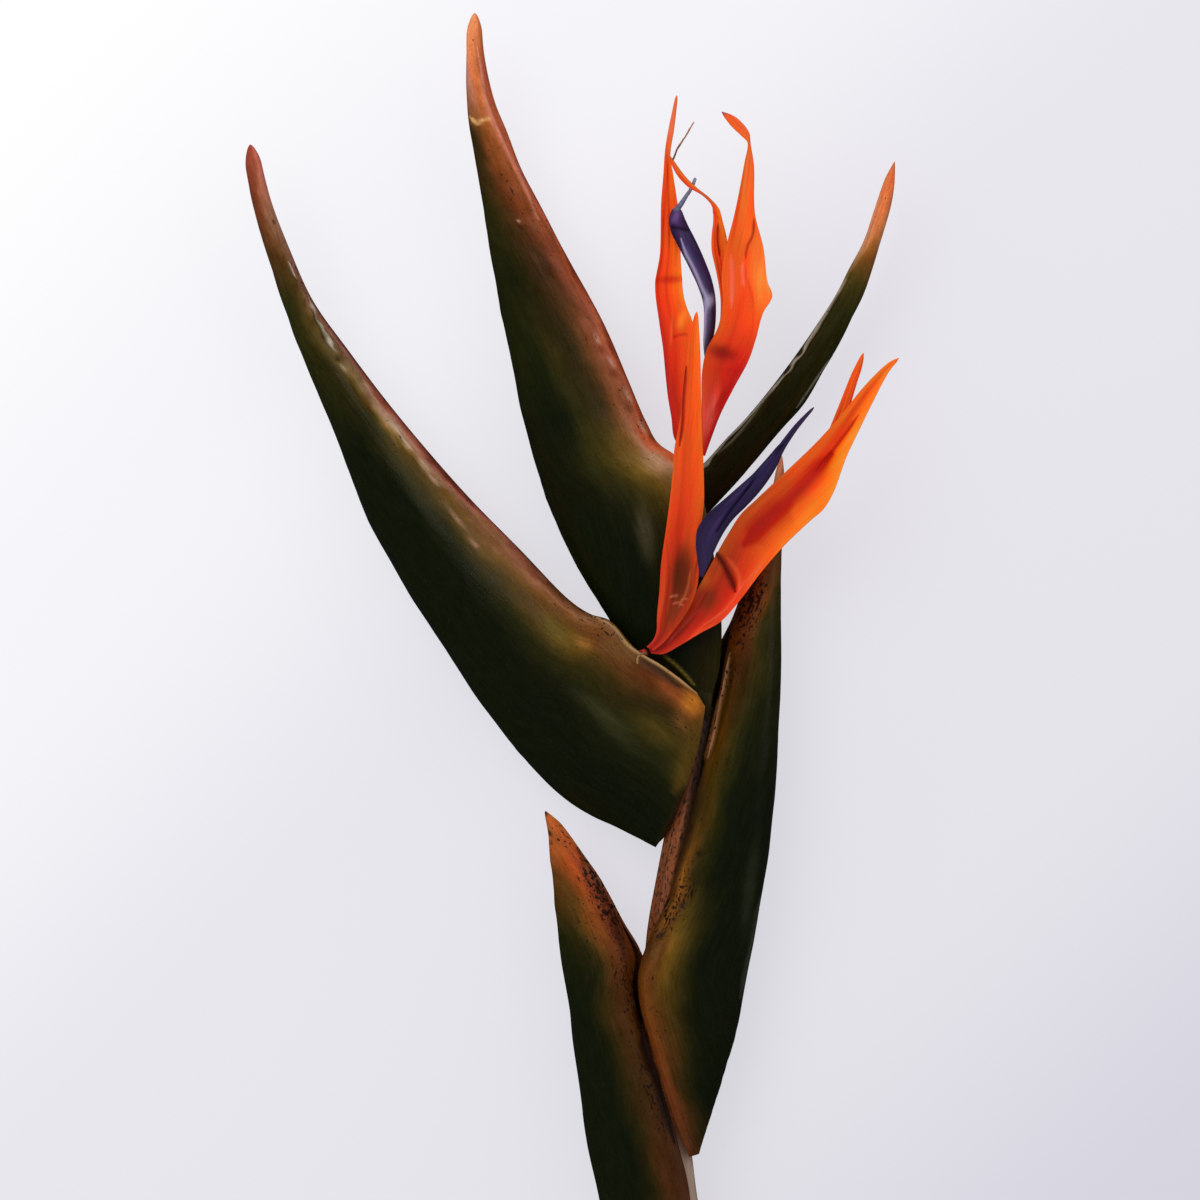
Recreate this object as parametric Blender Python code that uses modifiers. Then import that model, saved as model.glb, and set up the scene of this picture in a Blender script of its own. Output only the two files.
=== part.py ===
"""A bird of paradise flower head on its cut stem, lying on its side.

The stem carries five boat-shaped bracts, and two of them open on a flower: three sepals, a blue tongue and a
short stalk each. Metres, +Z up, resting on Z = 0. +Y runs from the cut end of the stem to the tip of the head.
The tables are in millimetres. An edge is a row of (x, y) points from the base of a piece to its tip, and a
profile is a row of (how far along, value) pairs, where 0 is the base and 1 is the tip.
"""

import bpy
import numpy as np

MM = 0.001

GAP = 0.5  # clear space between the stem and the bract that wraps it
BRACT_WALL = 0.9
BRACT_FULLNESS = 2.32  # makes the fullest part of a bract's section equal to its half thickness
SEPAL_THICKNESS = 0.5
TONGUE_THICKNESS = 1.5

BRACT_STEPS = 25  # sections along a bract
BRACT_HALF = 7  # faces from a bract's keel to its rim
SEPAL_STEPS = 21
SEPAL_ACROSS = 4
STEM_STEPS = 22

# The stem's middle line (x, y, z, radius), from the cut end up to the top of the flower stalk.
STEM = [
    (36.5, -240.0, 6.3, 6.3),
    (36.5, -222.0, 6.3, 6.2),
    (36.4, -205.0, 6.8, 6.2),
    (36.2, -180.0, 7.6, 6.2),
    (35.6, -155.0, 8.7, 6.2),
    (34.6, -130.0, 9.9, 6.1),
    (33.2, -110.0, 10.9, 6.1),
    (30.8, -90.0, 11.7, 6.0),
    (27.8, -70.0, 12.3, 5.9),
    (25.2, -54.0, 12.5, 5.7),
    (23.8, -37.0, 12.6, 5.2),
    (22.6, -21.0, 12.6, 4.7),
    (22.0, -6.0, 12.6, 4.3),
    (22.6, 8.0, 12.6, 4.0),
    (24.4, 21.0, 12.6, 3.8),
    (26.6, 33.0, 12.6, 3.7),
    (29.3, 46.0, 12.6, 3.6),
    (31.8, 58.0, 12.6, 3.5),
    (33.0, 67.0, 12.6, 2.7),
]

LOWER_LEFT = {
    "keel": [(26.0, -114), (20.8, -106.8), (16, -94.2), (11.8, -81.8), (8.8, -69.2), (6.6, -56.8), (3.5, -40.8),
             (1.5, -25.5), (-0.6, -10), (-3.1, 7.2), (-5.1, 26.2), (-6.2, 36), (-7.6, 40.2)],
    "rim": [(35.8, -114.5), (35.2, -101.8), (33.5, -89.2), (31.8, -76), (30.4, -64), (28.9, -52), (26, -40.8),
            (22, -27.5), (18.4, -15), (15.8, -6.5), (15.4, -1), (15.8, 3.8), (12.4, 12.2), (7.5, 23), (2, 31),
            (-2.4, 37), (-5.8, 40.8)],
    "middle": [(0, 11.2), (0.3, 12.0), (1, 12.6)],
    "half": [(0, 2.5), (0.12, 5.5), (0.3, 8.6), (0.55, 8.2), (0.75, 6.2), (0.9, 3.2), (1, 0.9)],
    "gape": [(0, 5.0), (0.3, 4.6), (0.55, 3.2), (0.7, 1.6), (0.85, 0.8), (1, 0.3)],
    "wall": [(0, 0.8), (0.7, 0.9), (1, 0.35)],
}
LOWER_RIGHT = {
    "keel": [(31.8, -45.2), (33.6, -39), (36.8, -29), (39.8, -19.5), (43, -4.8), (46.2, 12.8), (49.1, 30.2),
             (51.2, 49), (52, 68.2), (52.2, 83.2), (52.2, 100), (53, 118.2), (53.2, 129)],
    "rim": [(29.4, -45.6), (27.2, -40.5), (24.9, -34.2), (22.8, -27.5), (19.6, -17), (16.9, -7.5), (16.6, 0.2),
            (18.8, 7.6), (22.8, 16.2), (26.2, 26.5), (29.5, 40.2), (33, 49.8), (36.4, 60), (38.3, 70), (38.9, 80),
            (40, 87.5), (42.4, 95), (45.2, 103.2), (48.4, 113.2), (51.7, 129.6)],
    "middle": [(0, 12.6), (0.2, 12.2), (0.5, 11.2), (0.8, 12.0), (1, 13.5)],
    "half": [(0, 1.5), (0.1, 5.0), (0.3, 8.8), (0.5, 10.2), (0.7, 8.0), (0.88, 4.0), (1, 0.9)],
    "gape": [(0, 4.6), (0.2, 3.6), (0.45, 2.8), (0.6, 1.6), (0.8, 0.9), (1, 0.3)],
    "wall": [(0, 0.7), (0.2, 0.9), (0.7, 0.9), (1, 0.35)],
    "back": [(0, 0), (0.52, 0.3), (0.6, 2.2), (0.66, 3.0), (0.72, 2.4), (0.765, 0.3), (0.8, 0), (1, 0)],
}
MIDDLE_LEFT = {
    "keel": [(20.9, 31.4), (12, 36), (5, 39.2), (-2, 43.8), (-13, 54.8), (-23.2, 68.2), (-31.2, 80.6), (-39.8, 93.2),
             (-43.9, 100.2), (-51, 113.2), (-59.5, 135.8), (-68, 155.8), (-76.5, 180.8), (-80, 193.2), (-81.4, 206.6)],
    "rim": [(33.2, 66.6), (30.6, 70.4), (23.8, 75.8), (16.2, 80.8), (9.5, 88.1), (4.5, 89.8), (-0.6, 93.2),
            (-12.9, 105.8), (-25.1, 118.2), (-36.3, 130.8), (-46.5, 143.2), (-56, 155.8), (-64.8, 168.2),
            (-70.5, 180.8), (-75.2, 193.2), (-79.2, 207.2)],
    "middle": [(0, 12.6), (0.2, 12.5), (0.5, 12.8), (0.75, 14.2), (1, 16.5)],
    "half": [(0, 2.0), (0.08, 5.0), (0.2, 9.4), (0.4, 12.2), (0.6, 9.6), (0.8, 5.4), (0.93, 2.4), (1, 1.0)],
    "gape": [(0, 8.2), (0.14, 8.2), (0.24, 4.4), (0.36, 1.9), (0.6, 1.3), (0.85, 0.8), (1, 0.3)],
    "wall": [(0, 0.7), (0.15, 0.9), (0.7, 0.9), (1, 0.4)],
    "bow": [(0, 2.4), (0.15, 0.6), (0.3, 0), (1, 0)],
}
UPPER_LEFT = {
    "keel": [(26.2, 57.6), (23, 66), (17.2, 76.2), (9.5, 88.2), (-1.1, 105.8), (-6.2, 118.2), (-10, 130.8),
             (-13.2, 143.2), (-18.2, 168.2), (-22.4, 193.2), (-24.8, 205.8), (-26.2, 219), (-26.4, 231), (-25.2, 239.8)],
    "rim": [(34.4, 64.8), (35.4, 70.4), (36.8, 76), (37.4, 84), (37, 93.2), (35.2, 105.8), (32.8, 118.2), (29.8, 125.6),
            (25.2, 129.8), (21.8, 132.2), (18.5, 137.8), (14.2, 147.8), (8, 162.2), (-2.2, 180.8), (-7.8, 191.6),
            (-12.6, 200.8), (-16.3, 210.4), (-19.3, 217.8), (-22, 229.5), (-23.6, 240.0)],
    "middle": [(0, 12.6), (0.3, 12.8), (1, 16.0)],
    "half": [(0, 1.2), (0.1, 3.6), (0.22, 7.6), (0.4, 9.8), (0.6, 8.0), (0.8, 4.8), (0.94, 2.2), (1, 1.0)],
    "gape": [(0, 1.5), (0.2, 2.0), (0.28, 3.3), (0.37, 3.3), (0.46, 1.5), (0.7, 0.9), (1, 0.3)],
    "wall": [(0, 0.6), (0.2, 0.9), (0.7, 0.9), (1, 0.4)],
}
UPPER_RIGHT = {
    "keel": [(31.2, 112.6), (34, 115), (38, 119.4), (44.8, 126.8), (53, 136.6), (58.6, 143.2), (64.2, 152.6),
             (69.5, 163), (72.8, 169.8), (77, 182.5), (79.9, 193.4), (81.2, 202.6)],
    "rim": [(30.0, 124.6), (33.9, 128.4), (38, 133), (43.9, 139.2), (53, 150.5), (60.4, 160.9), (66, 169.5),
            (69, 175.6), (72.9, 183), (75.4, 190.4), (77.7, 197.2), (80, 203)],
    "middle": [(0, 12.8), (0.3, 13.0), (1, 15.5)],
    "half": [(0, 1.9), (0.2, 2.9), (0.5, 3.2), (0.8, 2.0), (1, 0.9)],
    "gape": [(0, 0.3), (1, 0.3)],
    "wall": [(0, 0.5), (0.8, 0.6), (1, 0.35)],
}

# Each blade has a left and a right edge, a height profile ("lift") and how far its two edges stand above its
# middle line ("fold").
LOWER_FRONT_SEPAL = {
    "left": [(18.6, 81.6), (20, 83), (21, 85.2), (21.2, 89.5), (21.8, 95.8), (22.2, 102), (23.2, 109.5), (24.2, 117),
             (25, 124.5), (25.5, 130.8), (26.5, 135.8), (27.5, 142), (28.2, 149.5), (29, 158.2), (30.7, 164.8)],
    "right": [(20.4, 80.6), (23.2, 83), (27, 87.8), (29.5, 92), (31.2, 97), (31.5, 102), (31.2, 107), (32, 111.2),
              (32.8, 117), (32.8, 123.2), (32.5, 130.8), (32.2, 138.2), (32, 145.8), (31.8, 155.8), (31.3, 164.8)],
    "lift": [(0, 22.4), (0.12, 23.4), (0.3, 25.6), (0.5, 28.4), (0.75, 31.2), (1, 33.0)],
    "fold": [(0, 0.2), (0.2, 1.4), (0.4, 0.6), (0.6, 0.8), (0.9, 0.5), (1, 0.1)],
}
LOWER_RIGHT_SEPAL = {
    "left": [(19.2, 81), (21.4, 82.6), (24, 85.2), (27.5, 90.2), (30.8, 95.2), (33.2, 99.5), (36, 104.6), (38.8, 109.5),
             (42, 114.5), (45.8, 118.2), (53.2, 125.2), (60.8, 132.5), (66.5, 138.8), (72.5, 146.2), (78.2, 151.8),
             (80.9, 153.4)],
    "right": [(19.8, 79.9), (22.8, 79.8), (27, 82), (32, 85), (37, 87.8), (40.8, 91.8), (47, 100), (52.5, 106.5),
              (59.5, 113.2), (62.5, 115.8), (65, 120), (68.2, 128.8), (71.2, 135.2), (74.5, 142), (78.6, 149.8),
              (81.28, 153.1)],
    "lift": [(0, 20.9), (0.2, 21.6), (0.4, 22.6), (0.6, 25.4), (0.8, 29.5), (1, 34.0)],
    "fold": [(0, 0.1), (0.15, 0.3), (0.35, 1.9), (0.6, 2.4), (0.85, 1.2), (1, 0.1)],
}
LOWER_REAR_SEPAL = {
    "left": [(20.4, 81.2), (28, 87), (36, 95), (44, 105.5), (52, 116), (58.5, 126), (63.2, 134), (65.8, 140.2),
             (67.5, 144.5), (69.5, 149.5), (72.2, 154.8)],
    "right": [(21.4, 80.2), (30, 84.8), (39, 93), (48, 103.5), (56.5, 114.5), (63, 124.5), (67, 134), (69.2, 141.5),
              (70.8, 147), (72, 150.8), (72.7, 154.5)],
    "lift": [(0, 19.2), (0.2, 19.8), (0.5, 21.0), (0.7, 23.4), (0.85, 26.2), (1, 29.0)],
    "fold": [(0, 0.1), (0.3, 0.5), (0.7, 0.6), (1, 0.1)],
}
LOWER_TONGUE = {
    "left": [(31.8, 99), (31.2, 103.2), (30.8, 107), (31.2, 110.8), (32.8, 113.5), (35, 115.8), (38.2, 118.5),
             (42, 121.8), (45.8, 125.2), (49.5, 129.2), (53.2, 134), (55.8, 137.2), (59.9, 141.2)],
    "right": [(32.6, 99), (33.8, 101.8), (35.2, 105), (36.5, 107.8), (38, 110.5), (40.2, 113.5), (43.2, 116.5),
              (46, 119.5), (48.5, 122.8), (50.8, 126.5), (52.5, 130.2), (55.4, 134.8), (60.3, 141)],
    "lift": [(0, 29.6), (0.2, 30.0), (0.5, 30.2), (0.8, 31.2), (1, 32.6)],
    "fold": [(0, 0.1), (0.25, 1.0), (0.6, 1.1), (1, 0.1)],
}
UPPER_LEFT_SEPAL = {
    "left": [(27.8, 130.4), (25.5, 133.6), (24.8, 138.8), (24, 143.8), (22.8, 155.8), (21.8, 162), (20.6, 171.5),
             (21.8, 179.5), (22.2, 192), (22.8, 199.5), (23.2, 205.2), (24, 210.2), (25.8, 218.8)],
    "right": [(30.5, 130.4), (31.2, 135.8), (31.2, 143.2), (31, 150.8), (31, 157), (30.2, 162), (28, 168.2),
              (27.2, 176.2), (26.5, 189.5), (25.2, 198.8), (24.5, 203.8), (25.5, 210.8), (26.4, 218.8)],
    "lift": [(0, 17.6), (0.2, 20.8), (0.45, 23.6), (0.7, 24.6), (1, 26.5)],
    "fold": [(0, 0.2), (0.3, 1.4), (0.6, 0.8), (0.85, 0.2), (1, 0.1)],
}
UPPER_RIGHT_SEPAL = {
    "left": [(32.2, 129.4), (32.4, 135.8), (32.4, 143.2), (32.5, 150.2), (33.5, 155.2), (36.4, 161.2), (37.5, 167),
             (37.2, 173.2), (37.8, 178.8), (40, 187.8), (41.2, 193.2), (43, 202.5), (43.7, 206.4), (42.6, 208.2),
             (40.2, 210.4), (37, 214.2)],
    "right": [(33.2, 129.2), (34.6, 133.2), (37, 139.5), (40.2, 145.8), (44, 152.8), (45.8, 158.2), (47.5, 164.5),
              (49.8, 168.8), (48.6, 172.4), (47.6, 180.8), (45.5, 189.5), (45.2, 201.2), (44.6, 206.4), (43.6, 209.8),
              (41, 212.6), (37.3, 214.6)],
    "lift": [(0, 18.4), (0.2, 22.0), (0.35, 25.0), (0.6, 26.8), (0.8, 29.0), (0.9, 31.0), (1, 32.0)],
    "fold": [(0, 0.1), (0.3, 1.4), (0.5, 1.8), (0.7, 0.8), (0.85, 0.3), (1, 0.1)],
}
UPPER_BENT_SEPAL = {
    "left": [(31.6, 131.6), (33.5, 143.2), (35.5, 155.8), (36.8, 162), (37, 168.2), (36, 174.5), (34.8, 180.2),
             (34.8, 184), (35.2, 187.8), (34.8, 191.2), (32.5, 193.8), (29.5, 195.5), (26.4, 198.4), (23.6, 203.8)],
    "right": [(32.6, 131.4), (35, 143.2), (37.5, 155.8), (38.5, 162), (39, 168.2), (39, 174.5), (38.8, 179.5),
              (38.5, 183.2), (37.5, 187.2), (36.5, 190.5), (34.2, 193), (31.5, 195.2), (28.2, 198.4), (24.2, 204)],
    "lift": [(0, 16.6), (0.25, 20.0), (0.45, 22.6), (0.62, 24.6), (0.72, 26.6), (0.85, 29.6), (1, 29.4)],
    "fold": [(0, 0.1), (0.4, 0.5), (0.75, 0.5), (1, 0.1)],
}
UPPER_TONGUE = {
    "left": [(33.2, 152.8), (32.8, 157), (33, 162), (32.8, 167), (31.5, 171.2), (29.5, 175.5), (27.8, 178.8),
             (26.2, 181.8), (24.8, 184.5), (24.2, 187.5), (24.8, 190), (26, 191.4)],
    "right": [(34.2, 152.8), (35, 157.5), (35.6, 161.2), (35.8, 165.2), (35.6, 169), (34.7, 173.2), (33.3, 177),
              (31.8, 180.5), (30.2, 183.8), (28.8, 186.5), (27.8, 188.8), (27.1, 190.8)],
    "lift": [(0, 21.6), (0.2, 22.8), (0.5, 25.0), (0.75, 27.0), (1, 28.2)],
    "fold": [(0, -0.1), (0.3, -0.8), (0.7, -0.8), (1, -0.2)],
}

# The thin pieces are rods: (x, y, z, radius).
LOWER_STALK = [(8, 72, 14.2, 1.2), (13, 76.2, 16.8, 1.3), (16.4, 78.9, 18.6, 1.3), (18.4, 80.2, 19.4, 1.0)]
UPPER_STALK = [(22, 117, 12.6, 1.2), (25.5, 124.4, 12.9, 1.3), (28, 129, 14.8, 1.2), (29, 131, 15.8, 0.9)]
UPPER_STYLE = [(27.3, 191.9, 28.2, 0.6), (28.4, 193.6, 28.2, 0.5), (29.7, 195.6, 28.0, 0.45), (30.6, 197.8, 28.6, 0.4)]
UPPER_FILAMENT = [(25.2, 202.7, 30.6, 0.3), (26.2, 205.2, 31.2, 0.3), (27.5, 207.2, 31.6, 0.28), (30.3, 211.8, 31.0, 0.2)]
LOWER_TENDRIL = [(18.4, 80.0, 24.0, 0.35), (16.8, 79.4, 24.9, 0.4), (15.9, 77.8, 25.2, 0.4), (16.3, 76.2, 24.9, 0.3)]

MATERIALS = {
    "stem": ((0.56, 0.40, 0.28, 1), 0.55),
    "bract": ((0.06, 0.09, 0.03, 1), 0.35),
    "sepal": ((0.95, 0.27, 0.03, 1), 0.45),
    "tongue": ((0.09, 0.06, 0.24, 1), 0.35),
    "flower_stalk": ((0.75, 0.06, 0.05, 1), 0.45),
    "dried_tip": ((0.25, 0.12, 0.06, 1), 0.7),
}


def clear_scene():
    for obj in list(bpy.data.objects):
        bpy.data.objects.remove(obj, do_unlink=True)


def make_materials():
    for name, (colour, roughness) in MATERIALS.items():
        material = bpy.data.materials.new(name)
        material.use_nodes = True
        shader = material.node_tree.nodes["Principled BSDF"]
        shader.inputs["Base Color"].default_value = colour
        shader.inputs["Roughness"].default_value = roughness
        shader.inputs["Metallic"].default_value = 0.0


def hermite(knots, values, wanted):
    """A smooth curve through `values` at `knots`, read at `wanted`."""
    slopes = np.gradient(values, knots, axis=0)
    low = np.clip(np.searchsorted(knots, wanted, side="right") - 1, 0, len(knots) - 2)
    width = knots[low + 1] - knots[low]
    t = (wanted - knots[low]) / width
    shape = (-1,) + (1,) * (values.ndim - 1)
    t = t.reshape(shape)
    width = width.reshape(shape)
    return (
        (2 * t**3 - 3 * t**2 + 1) * values[low]
        + (t**3 - 2 * t**2 + t) * width * slopes[low]
        + (3 * t**2 - 2 * t**3) * values[low + 1]
        + (t**3 - t**2) * width * slopes[low + 1]
    )


def along_edge(points, count):
    """`count` points at equal distances along a smooth curve through `points`."""
    points = np.array(points, dtype=float)
    chords = np.linalg.norm(np.diff(points[:, :2], axis=0), axis=1)
    knots = np.concatenate([[0.0], np.cumsum(np.sqrt(chords))])
    fine = hermite(knots, points, np.linspace(0.0, knots[-1], 40 * len(points)))
    lengths = np.concatenate([[0.0], np.cumsum(np.linalg.norm(np.diff(fine[:, :2], axis=0), axis=1))])
    steps = np.linspace(0.0, lengths[-1], count)
    return np.column_stack([np.interp(steps, lengths, column) for column in fine.T])


def profile(table, places):
    knots, values = np.array(table, dtype=float).T
    if len(knots) == 2:
        return np.interp(places, knots, values)
    return hermite(knots, values, np.asarray(places, dtype=float))


def stem_clearance(points, extra):
    """Half the height that the stem plus `extra` takes up over each (x, y) point, and the stem's height there."""
    line = along_edge(STEM, 400)
    offset = points[:, None, :] - line[None, :, :2]
    distance = np.linalg.norm(offset, axis=2)
    nearest = distance.argmin(axis=1)
    near = distance[np.arange(len(points)), nearest]
    reach = line[nearest, 3] + extra
    return np.sqrt(np.maximum(reach**2 - near**2, 0.0)), line[nearest, 2]


def bract_grid(table, steps, half):
    """The outside of a bract: from the front lip round the keel to the back lip, at each step from base to tip."""
    places = np.linspace(0.0, 1.0, steps)
    keel = along_edge(table["keel"], steps)
    rim = along_edge(table["rim"], steps)
    wall = profile(table["wall"], places)
    bow = profile(table.get("bow", [(0, 0), (1, 0)]), places)
    width = np.linalg.norm(rim - keel, axis=1)
    along = np.gradient(0.5 * (keel + rim), axis=0)
    along /= np.linalg.norm(along, axis=1)[:, None]
    back = profile(table.get("back", [(0, 0), (1, 0)]), places)
    outward = (rim - keel) / width[:, None]
    share = np.linspace(0.0, 1.0, half + 1) ** 1.7
    rows = []
    for side in (1, -1):
        columns = []
        for v in share if side < 0 else share[::-1]:
            flat = keel + (rim - keel) * v - along * (bow * 4 * v * (1 - v))[:, None]
            overhang = back * v**3 if side < 0 else np.zeros(steps)
            flat += outward * overhang[:, None]
            full = BRACT_FULLNESS * np.sqrt(v) * (1 - v) ** 0.75
            swell = profile(table["half"], places) * full + (profile(table["gape"], places) + wall) * v
            clear, height = stem_clearance(flat, wall + GAP)
            middle = profile(table["middle"], places)
            need = np.maximum(clear + side * (height - middle), 0.0) * (clear > 0)
            rise = (swell**4 + need**4) ** 0.25 + 0.4 * overhang
            columns.append(np.column_stack([flat, np.maximum(middle + side * rise, 0.0)]))
        rows.append(np.stack(columns, axis=1))
    grid = np.concatenate([rows[0], rows[1][:, 1:]], axis=1)
    weights = np.repeat((wall / BRACT_WALL)[:, None], grid.shape[1], axis=1)
    return grid, weights, width


def blade_grid(table, steps, across):
    """The middle surface of a sepal or a tongue, folded along its middle line."""
    places = np.linspace(0.0, 1.0, steps)
    left = along_edge(table["left"], steps)
    right = along_edge(table["right"], steps)
    lift = profile(table["lift"], places)
    fold = profile(table["fold"], places)
    columns = []
    for v in np.linspace(0.0, 1.0, across + 1):
        height = lift + fold * abs(2 * v - 1) ** 1.4
        columns.append(np.column_stack([left + (right - left) * v, height]))
    return np.stack(columns, axis=1)


def sheet_object(name, grid, thickness, weights, offset, material, collection):
    """An open sheet through `grid`, given its thickness by Solidify. `weights` scale the thickness at each point."""
    steps, across = grid.shape[:2]
    faces = []
    for i in range(steps - 1):
        for j in range(across - 1):
            corner = i * across + j
            faces.append((corner, corner + 1, corner + across + 1, corner + across))
    mesh = bpy.data.meshes.new(name)
    mesh.from_pydata((grid.reshape(-1, 3) * MM).tolist(), [], faces)
    mesh.materials.append(bpy.data.materials[material])
    obj = bpy.data.objects.new(name, mesh)
    collection.objects.link(obj)
    group = obj.vertex_groups.new(name="thickness")
    for index, weight in enumerate(weights.reshape(-1)):
        group.add([index], float(weight), "REPLACE")
    solid = obj.modifiers.new("thickness", "SOLIDIFY")
    solid.thickness = thickness * MM
    solid.offset = offset
    solid.vertex_group = "thickness"
    return obj


def add_bract(name, table, collection):
    grid, weights, _ = bract_grid(table, BRACT_STEPS, BRACT_HALF)
    # Turned so that the faces look outwards, whichever side the keel is on.
    across = table["rim"][3][0] - table["keel"][3][0]
    if across > 0:
        grid = grid[:, ::-1]
    return sheet_object(name, grid, BRACT_WALL, weights, -1.0, "bract", collection)


def add_sepal(name, table, collection):
    grid = blade_grid(table, SEPAL_STEPS, SEPAL_ACROSS)
    return sheet_object(name, grid, SEPAL_THICKNESS, np.ones(grid.shape[:2]), 0.0, "sepal", collection)


def add_tongue(name, table, collection):
    grid = blade_grid(table, SEPAL_STEPS, SEPAL_ACROSS)
    share = np.linspace(-1.0, 1.0, grid.shape[1])
    weights = np.ones(grid.shape[:2]) * (0.3 + 0.7 * (1 - share**2))[None, :]
    weights *= np.clip(1.4 - np.linspace(0, 1, len(weights)), 0.5, 1.0)[:, None]
    return sheet_object(name, grid, TONGUE_THICKNESS, weights, 0.0, "tongue", collection)


def add_rod(name, table, steps, rounding, material, collection):
    curve = bpy.data.curves.new(name, "CURVE")
    curve.dimensions = "3D"
    curve.bevel_depth = MM
    curve.bevel_resolution = rounding
    curve.use_fill_caps = True
    points = along_edge(table, steps)
    line = curve.splines.new("POLY")
    line.points.add(steps - 1)
    for place, (x, y, z, radius) in zip(line.points, points):
        place.co = (x * MM, y * MM, z * MM, 1.0)
        place.radius = radius
    curve.materials.append(bpy.data.materials[material])
    obj = bpy.data.objects.new(name, curve)
    collection.objects.link(obj)
    return obj


def main():
    clear_scene()
    make_materials()
    flower = bpy.data.collections.new("bird_of_paradise_flower")
    bpy.context.scene.collection.children.link(flower)
    add_rod("stem", STEM, STEM_STEPS, 6, "stem", flower)
    add_bract("bract_lower_left", LOWER_LEFT, flower)
    add_bract("bract_lower_right", LOWER_RIGHT, flower)
    add_bract("bract_middle_left", MIDDLE_LEFT, flower)
    add_bract("bract_upper_left", UPPER_LEFT, flower)
    add_bract("bract_upper_right", UPPER_RIGHT, flower)
    add_rod("lower_flower_stalk", LOWER_STALK, 6, 2, "flower_stalk", flower)
    add_sepal("lower_flower_front_sepal", LOWER_FRONT_SEPAL, flower)
    add_sepal("lower_flower_right_sepal", LOWER_RIGHT_SEPAL, flower)
    add_sepal("lower_flower_rear_sepal", LOWER_REAR_SEPAL, flower)
    add_tongue("lower_flower_tongue", LOWER_TONGUE, flower)
    add_rod("lower_flower_tendril", LOWER_TENDRIL, 6, 1, "dried_tip", flower)
    add_rod("upper_flower_stalk", UPPER_STALK, 6, 2, "flower_stalk", flower)
    add_sepal("upper_flower_left_sepal", UPPER_LEFT_SEPAL, flower)
    add_sepal("upper_flower_right_sepal", UPPER_RIGHT_SEPAL, flower)
    add_sepal("upper_flower_bent_sepal", UPPER_BENT_SEPAL, flower)
    add_tongue("upper_flower_tongue", UPPER_TONGUE, flower)
    add_rod("upper_flower_style", UPPER_STYLE, 5, 1, "tongue", flower)
    add_rod("upper_flower_filament", UPPER_FILAMENT, 6, 1, "dried_tip", flower)


main()
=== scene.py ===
"""How the bird of paradise flower looks: waxy bracts, silky orange sepals and violet tongues.

Every piece is a finer copy of a CAD node, made from nearly the same control points, with its lips, folds,
dents and wrinkles as real shape and its colours as point attributes that the materials read. Lengths in the
tables are millimetres, and colours are linear RGB in thousandths.

An edge (keel, rim, left, right) is a row of (x, y) points from the base of a piece to its tip. A profile
(middle, half, gape, wall, back, bow, lift, fold) is a row of (how far along, value), from 0 to 1 along.
    middle, half, gape, wall: a bract's middle height, half thickness, half opening at the rim, and wall
    back, bow: how far a bract's back lip passes its rim, and how far its sections are drawn back
    lift, fold: the height of a blade's middle line, and how far its two edges stand above that line
    zones: the colours, (how far along, (distance, red, green, blue), ...), blended from zone to zone. The
        distance is in from the rim on a bract, and a share of the width from the left edge on a blade
    patches: marks placed from above, (x, y, half length, half width, degrees, colour, strength, height)
    lines: marks placed from above, (points, half width, colour, strength, height)
        Some zones, patches and lines are painted highlights and glints, and some patches and lines are
        painted shade in slits, crevices, folds and under lips.
    specks: where dark specks are thick, (x, y, half length, half width, degrees, strength)
    crests: (start, end, distance in from the rim, half width, height, wrinkle height, wrinkle length), with
        start and end as shares of the bract's length
    skin: a bract's roughness, the depth of its fibre streaks and the colour of its specks
"""

import math

import bpy
import numpy as np
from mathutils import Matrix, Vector


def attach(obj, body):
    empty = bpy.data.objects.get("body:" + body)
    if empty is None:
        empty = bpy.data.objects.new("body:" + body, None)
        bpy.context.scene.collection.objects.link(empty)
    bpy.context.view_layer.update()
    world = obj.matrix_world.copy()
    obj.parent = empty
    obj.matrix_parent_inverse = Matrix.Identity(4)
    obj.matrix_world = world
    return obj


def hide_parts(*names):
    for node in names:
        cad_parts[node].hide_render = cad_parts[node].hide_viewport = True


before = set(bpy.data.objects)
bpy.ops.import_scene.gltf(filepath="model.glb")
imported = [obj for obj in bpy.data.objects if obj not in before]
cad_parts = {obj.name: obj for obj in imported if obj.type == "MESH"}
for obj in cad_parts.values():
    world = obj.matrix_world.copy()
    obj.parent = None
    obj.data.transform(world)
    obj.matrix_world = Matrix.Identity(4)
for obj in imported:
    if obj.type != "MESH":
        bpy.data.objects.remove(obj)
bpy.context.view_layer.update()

MM = 0.001
COLOUR_SCALE = 1000

BRACT_STEPS = 300
BRACT_HALF = 46  # steps from the keel to a rim
BRACT_TIP = 5.0  # length of the rounded tip
BRACT_FULLNESS = 2.32  # makes the fullest part of a bract's section equal to its half thickness
STEM_GAP = 0.5  # clear space between the stem and the bract that wraps it
LIP_POINTS = 3
BLADE_STEPS = 220
BLADE_ACROSS = 44
BLADE_TIP = 1.4
SEPAL_THICKNESS = 0.5
SEPAL_PLEATS = 0.16
SEPAL_SEED = 600
TONGUE_THICKNESS = 1.5
TONGUE_PLEATS = 0.06
TONGUE_SEED = 700
STEM_STEPS = 320
STEM_AROUND = 72
STEM_BLUNTNESS = 0.93
ROD_STEPS = 40
END_SIZES = (0.03, 0.35, 0.7, 0.92)  # the rings that close a rod's end, as shares of its radius
SMALLEST = 0.03  # what is left of a section's size at the very tip
TINY = 1e-9
SAMPLES_PER_POINT = 40
STEM_SAMPLES = 400
LEVEL = [(0, 0), (1, 0)]  # a profile that is 0 all along

# What the sheen adds to a bract's paint, which leaves it out, and the least share of the paint that stays.
GLOSS_HAZE = np.array((0.002, 0.006, 0.011))
LEAST_KEPT = np.array((0.9, 0.93, 0.45))
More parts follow.
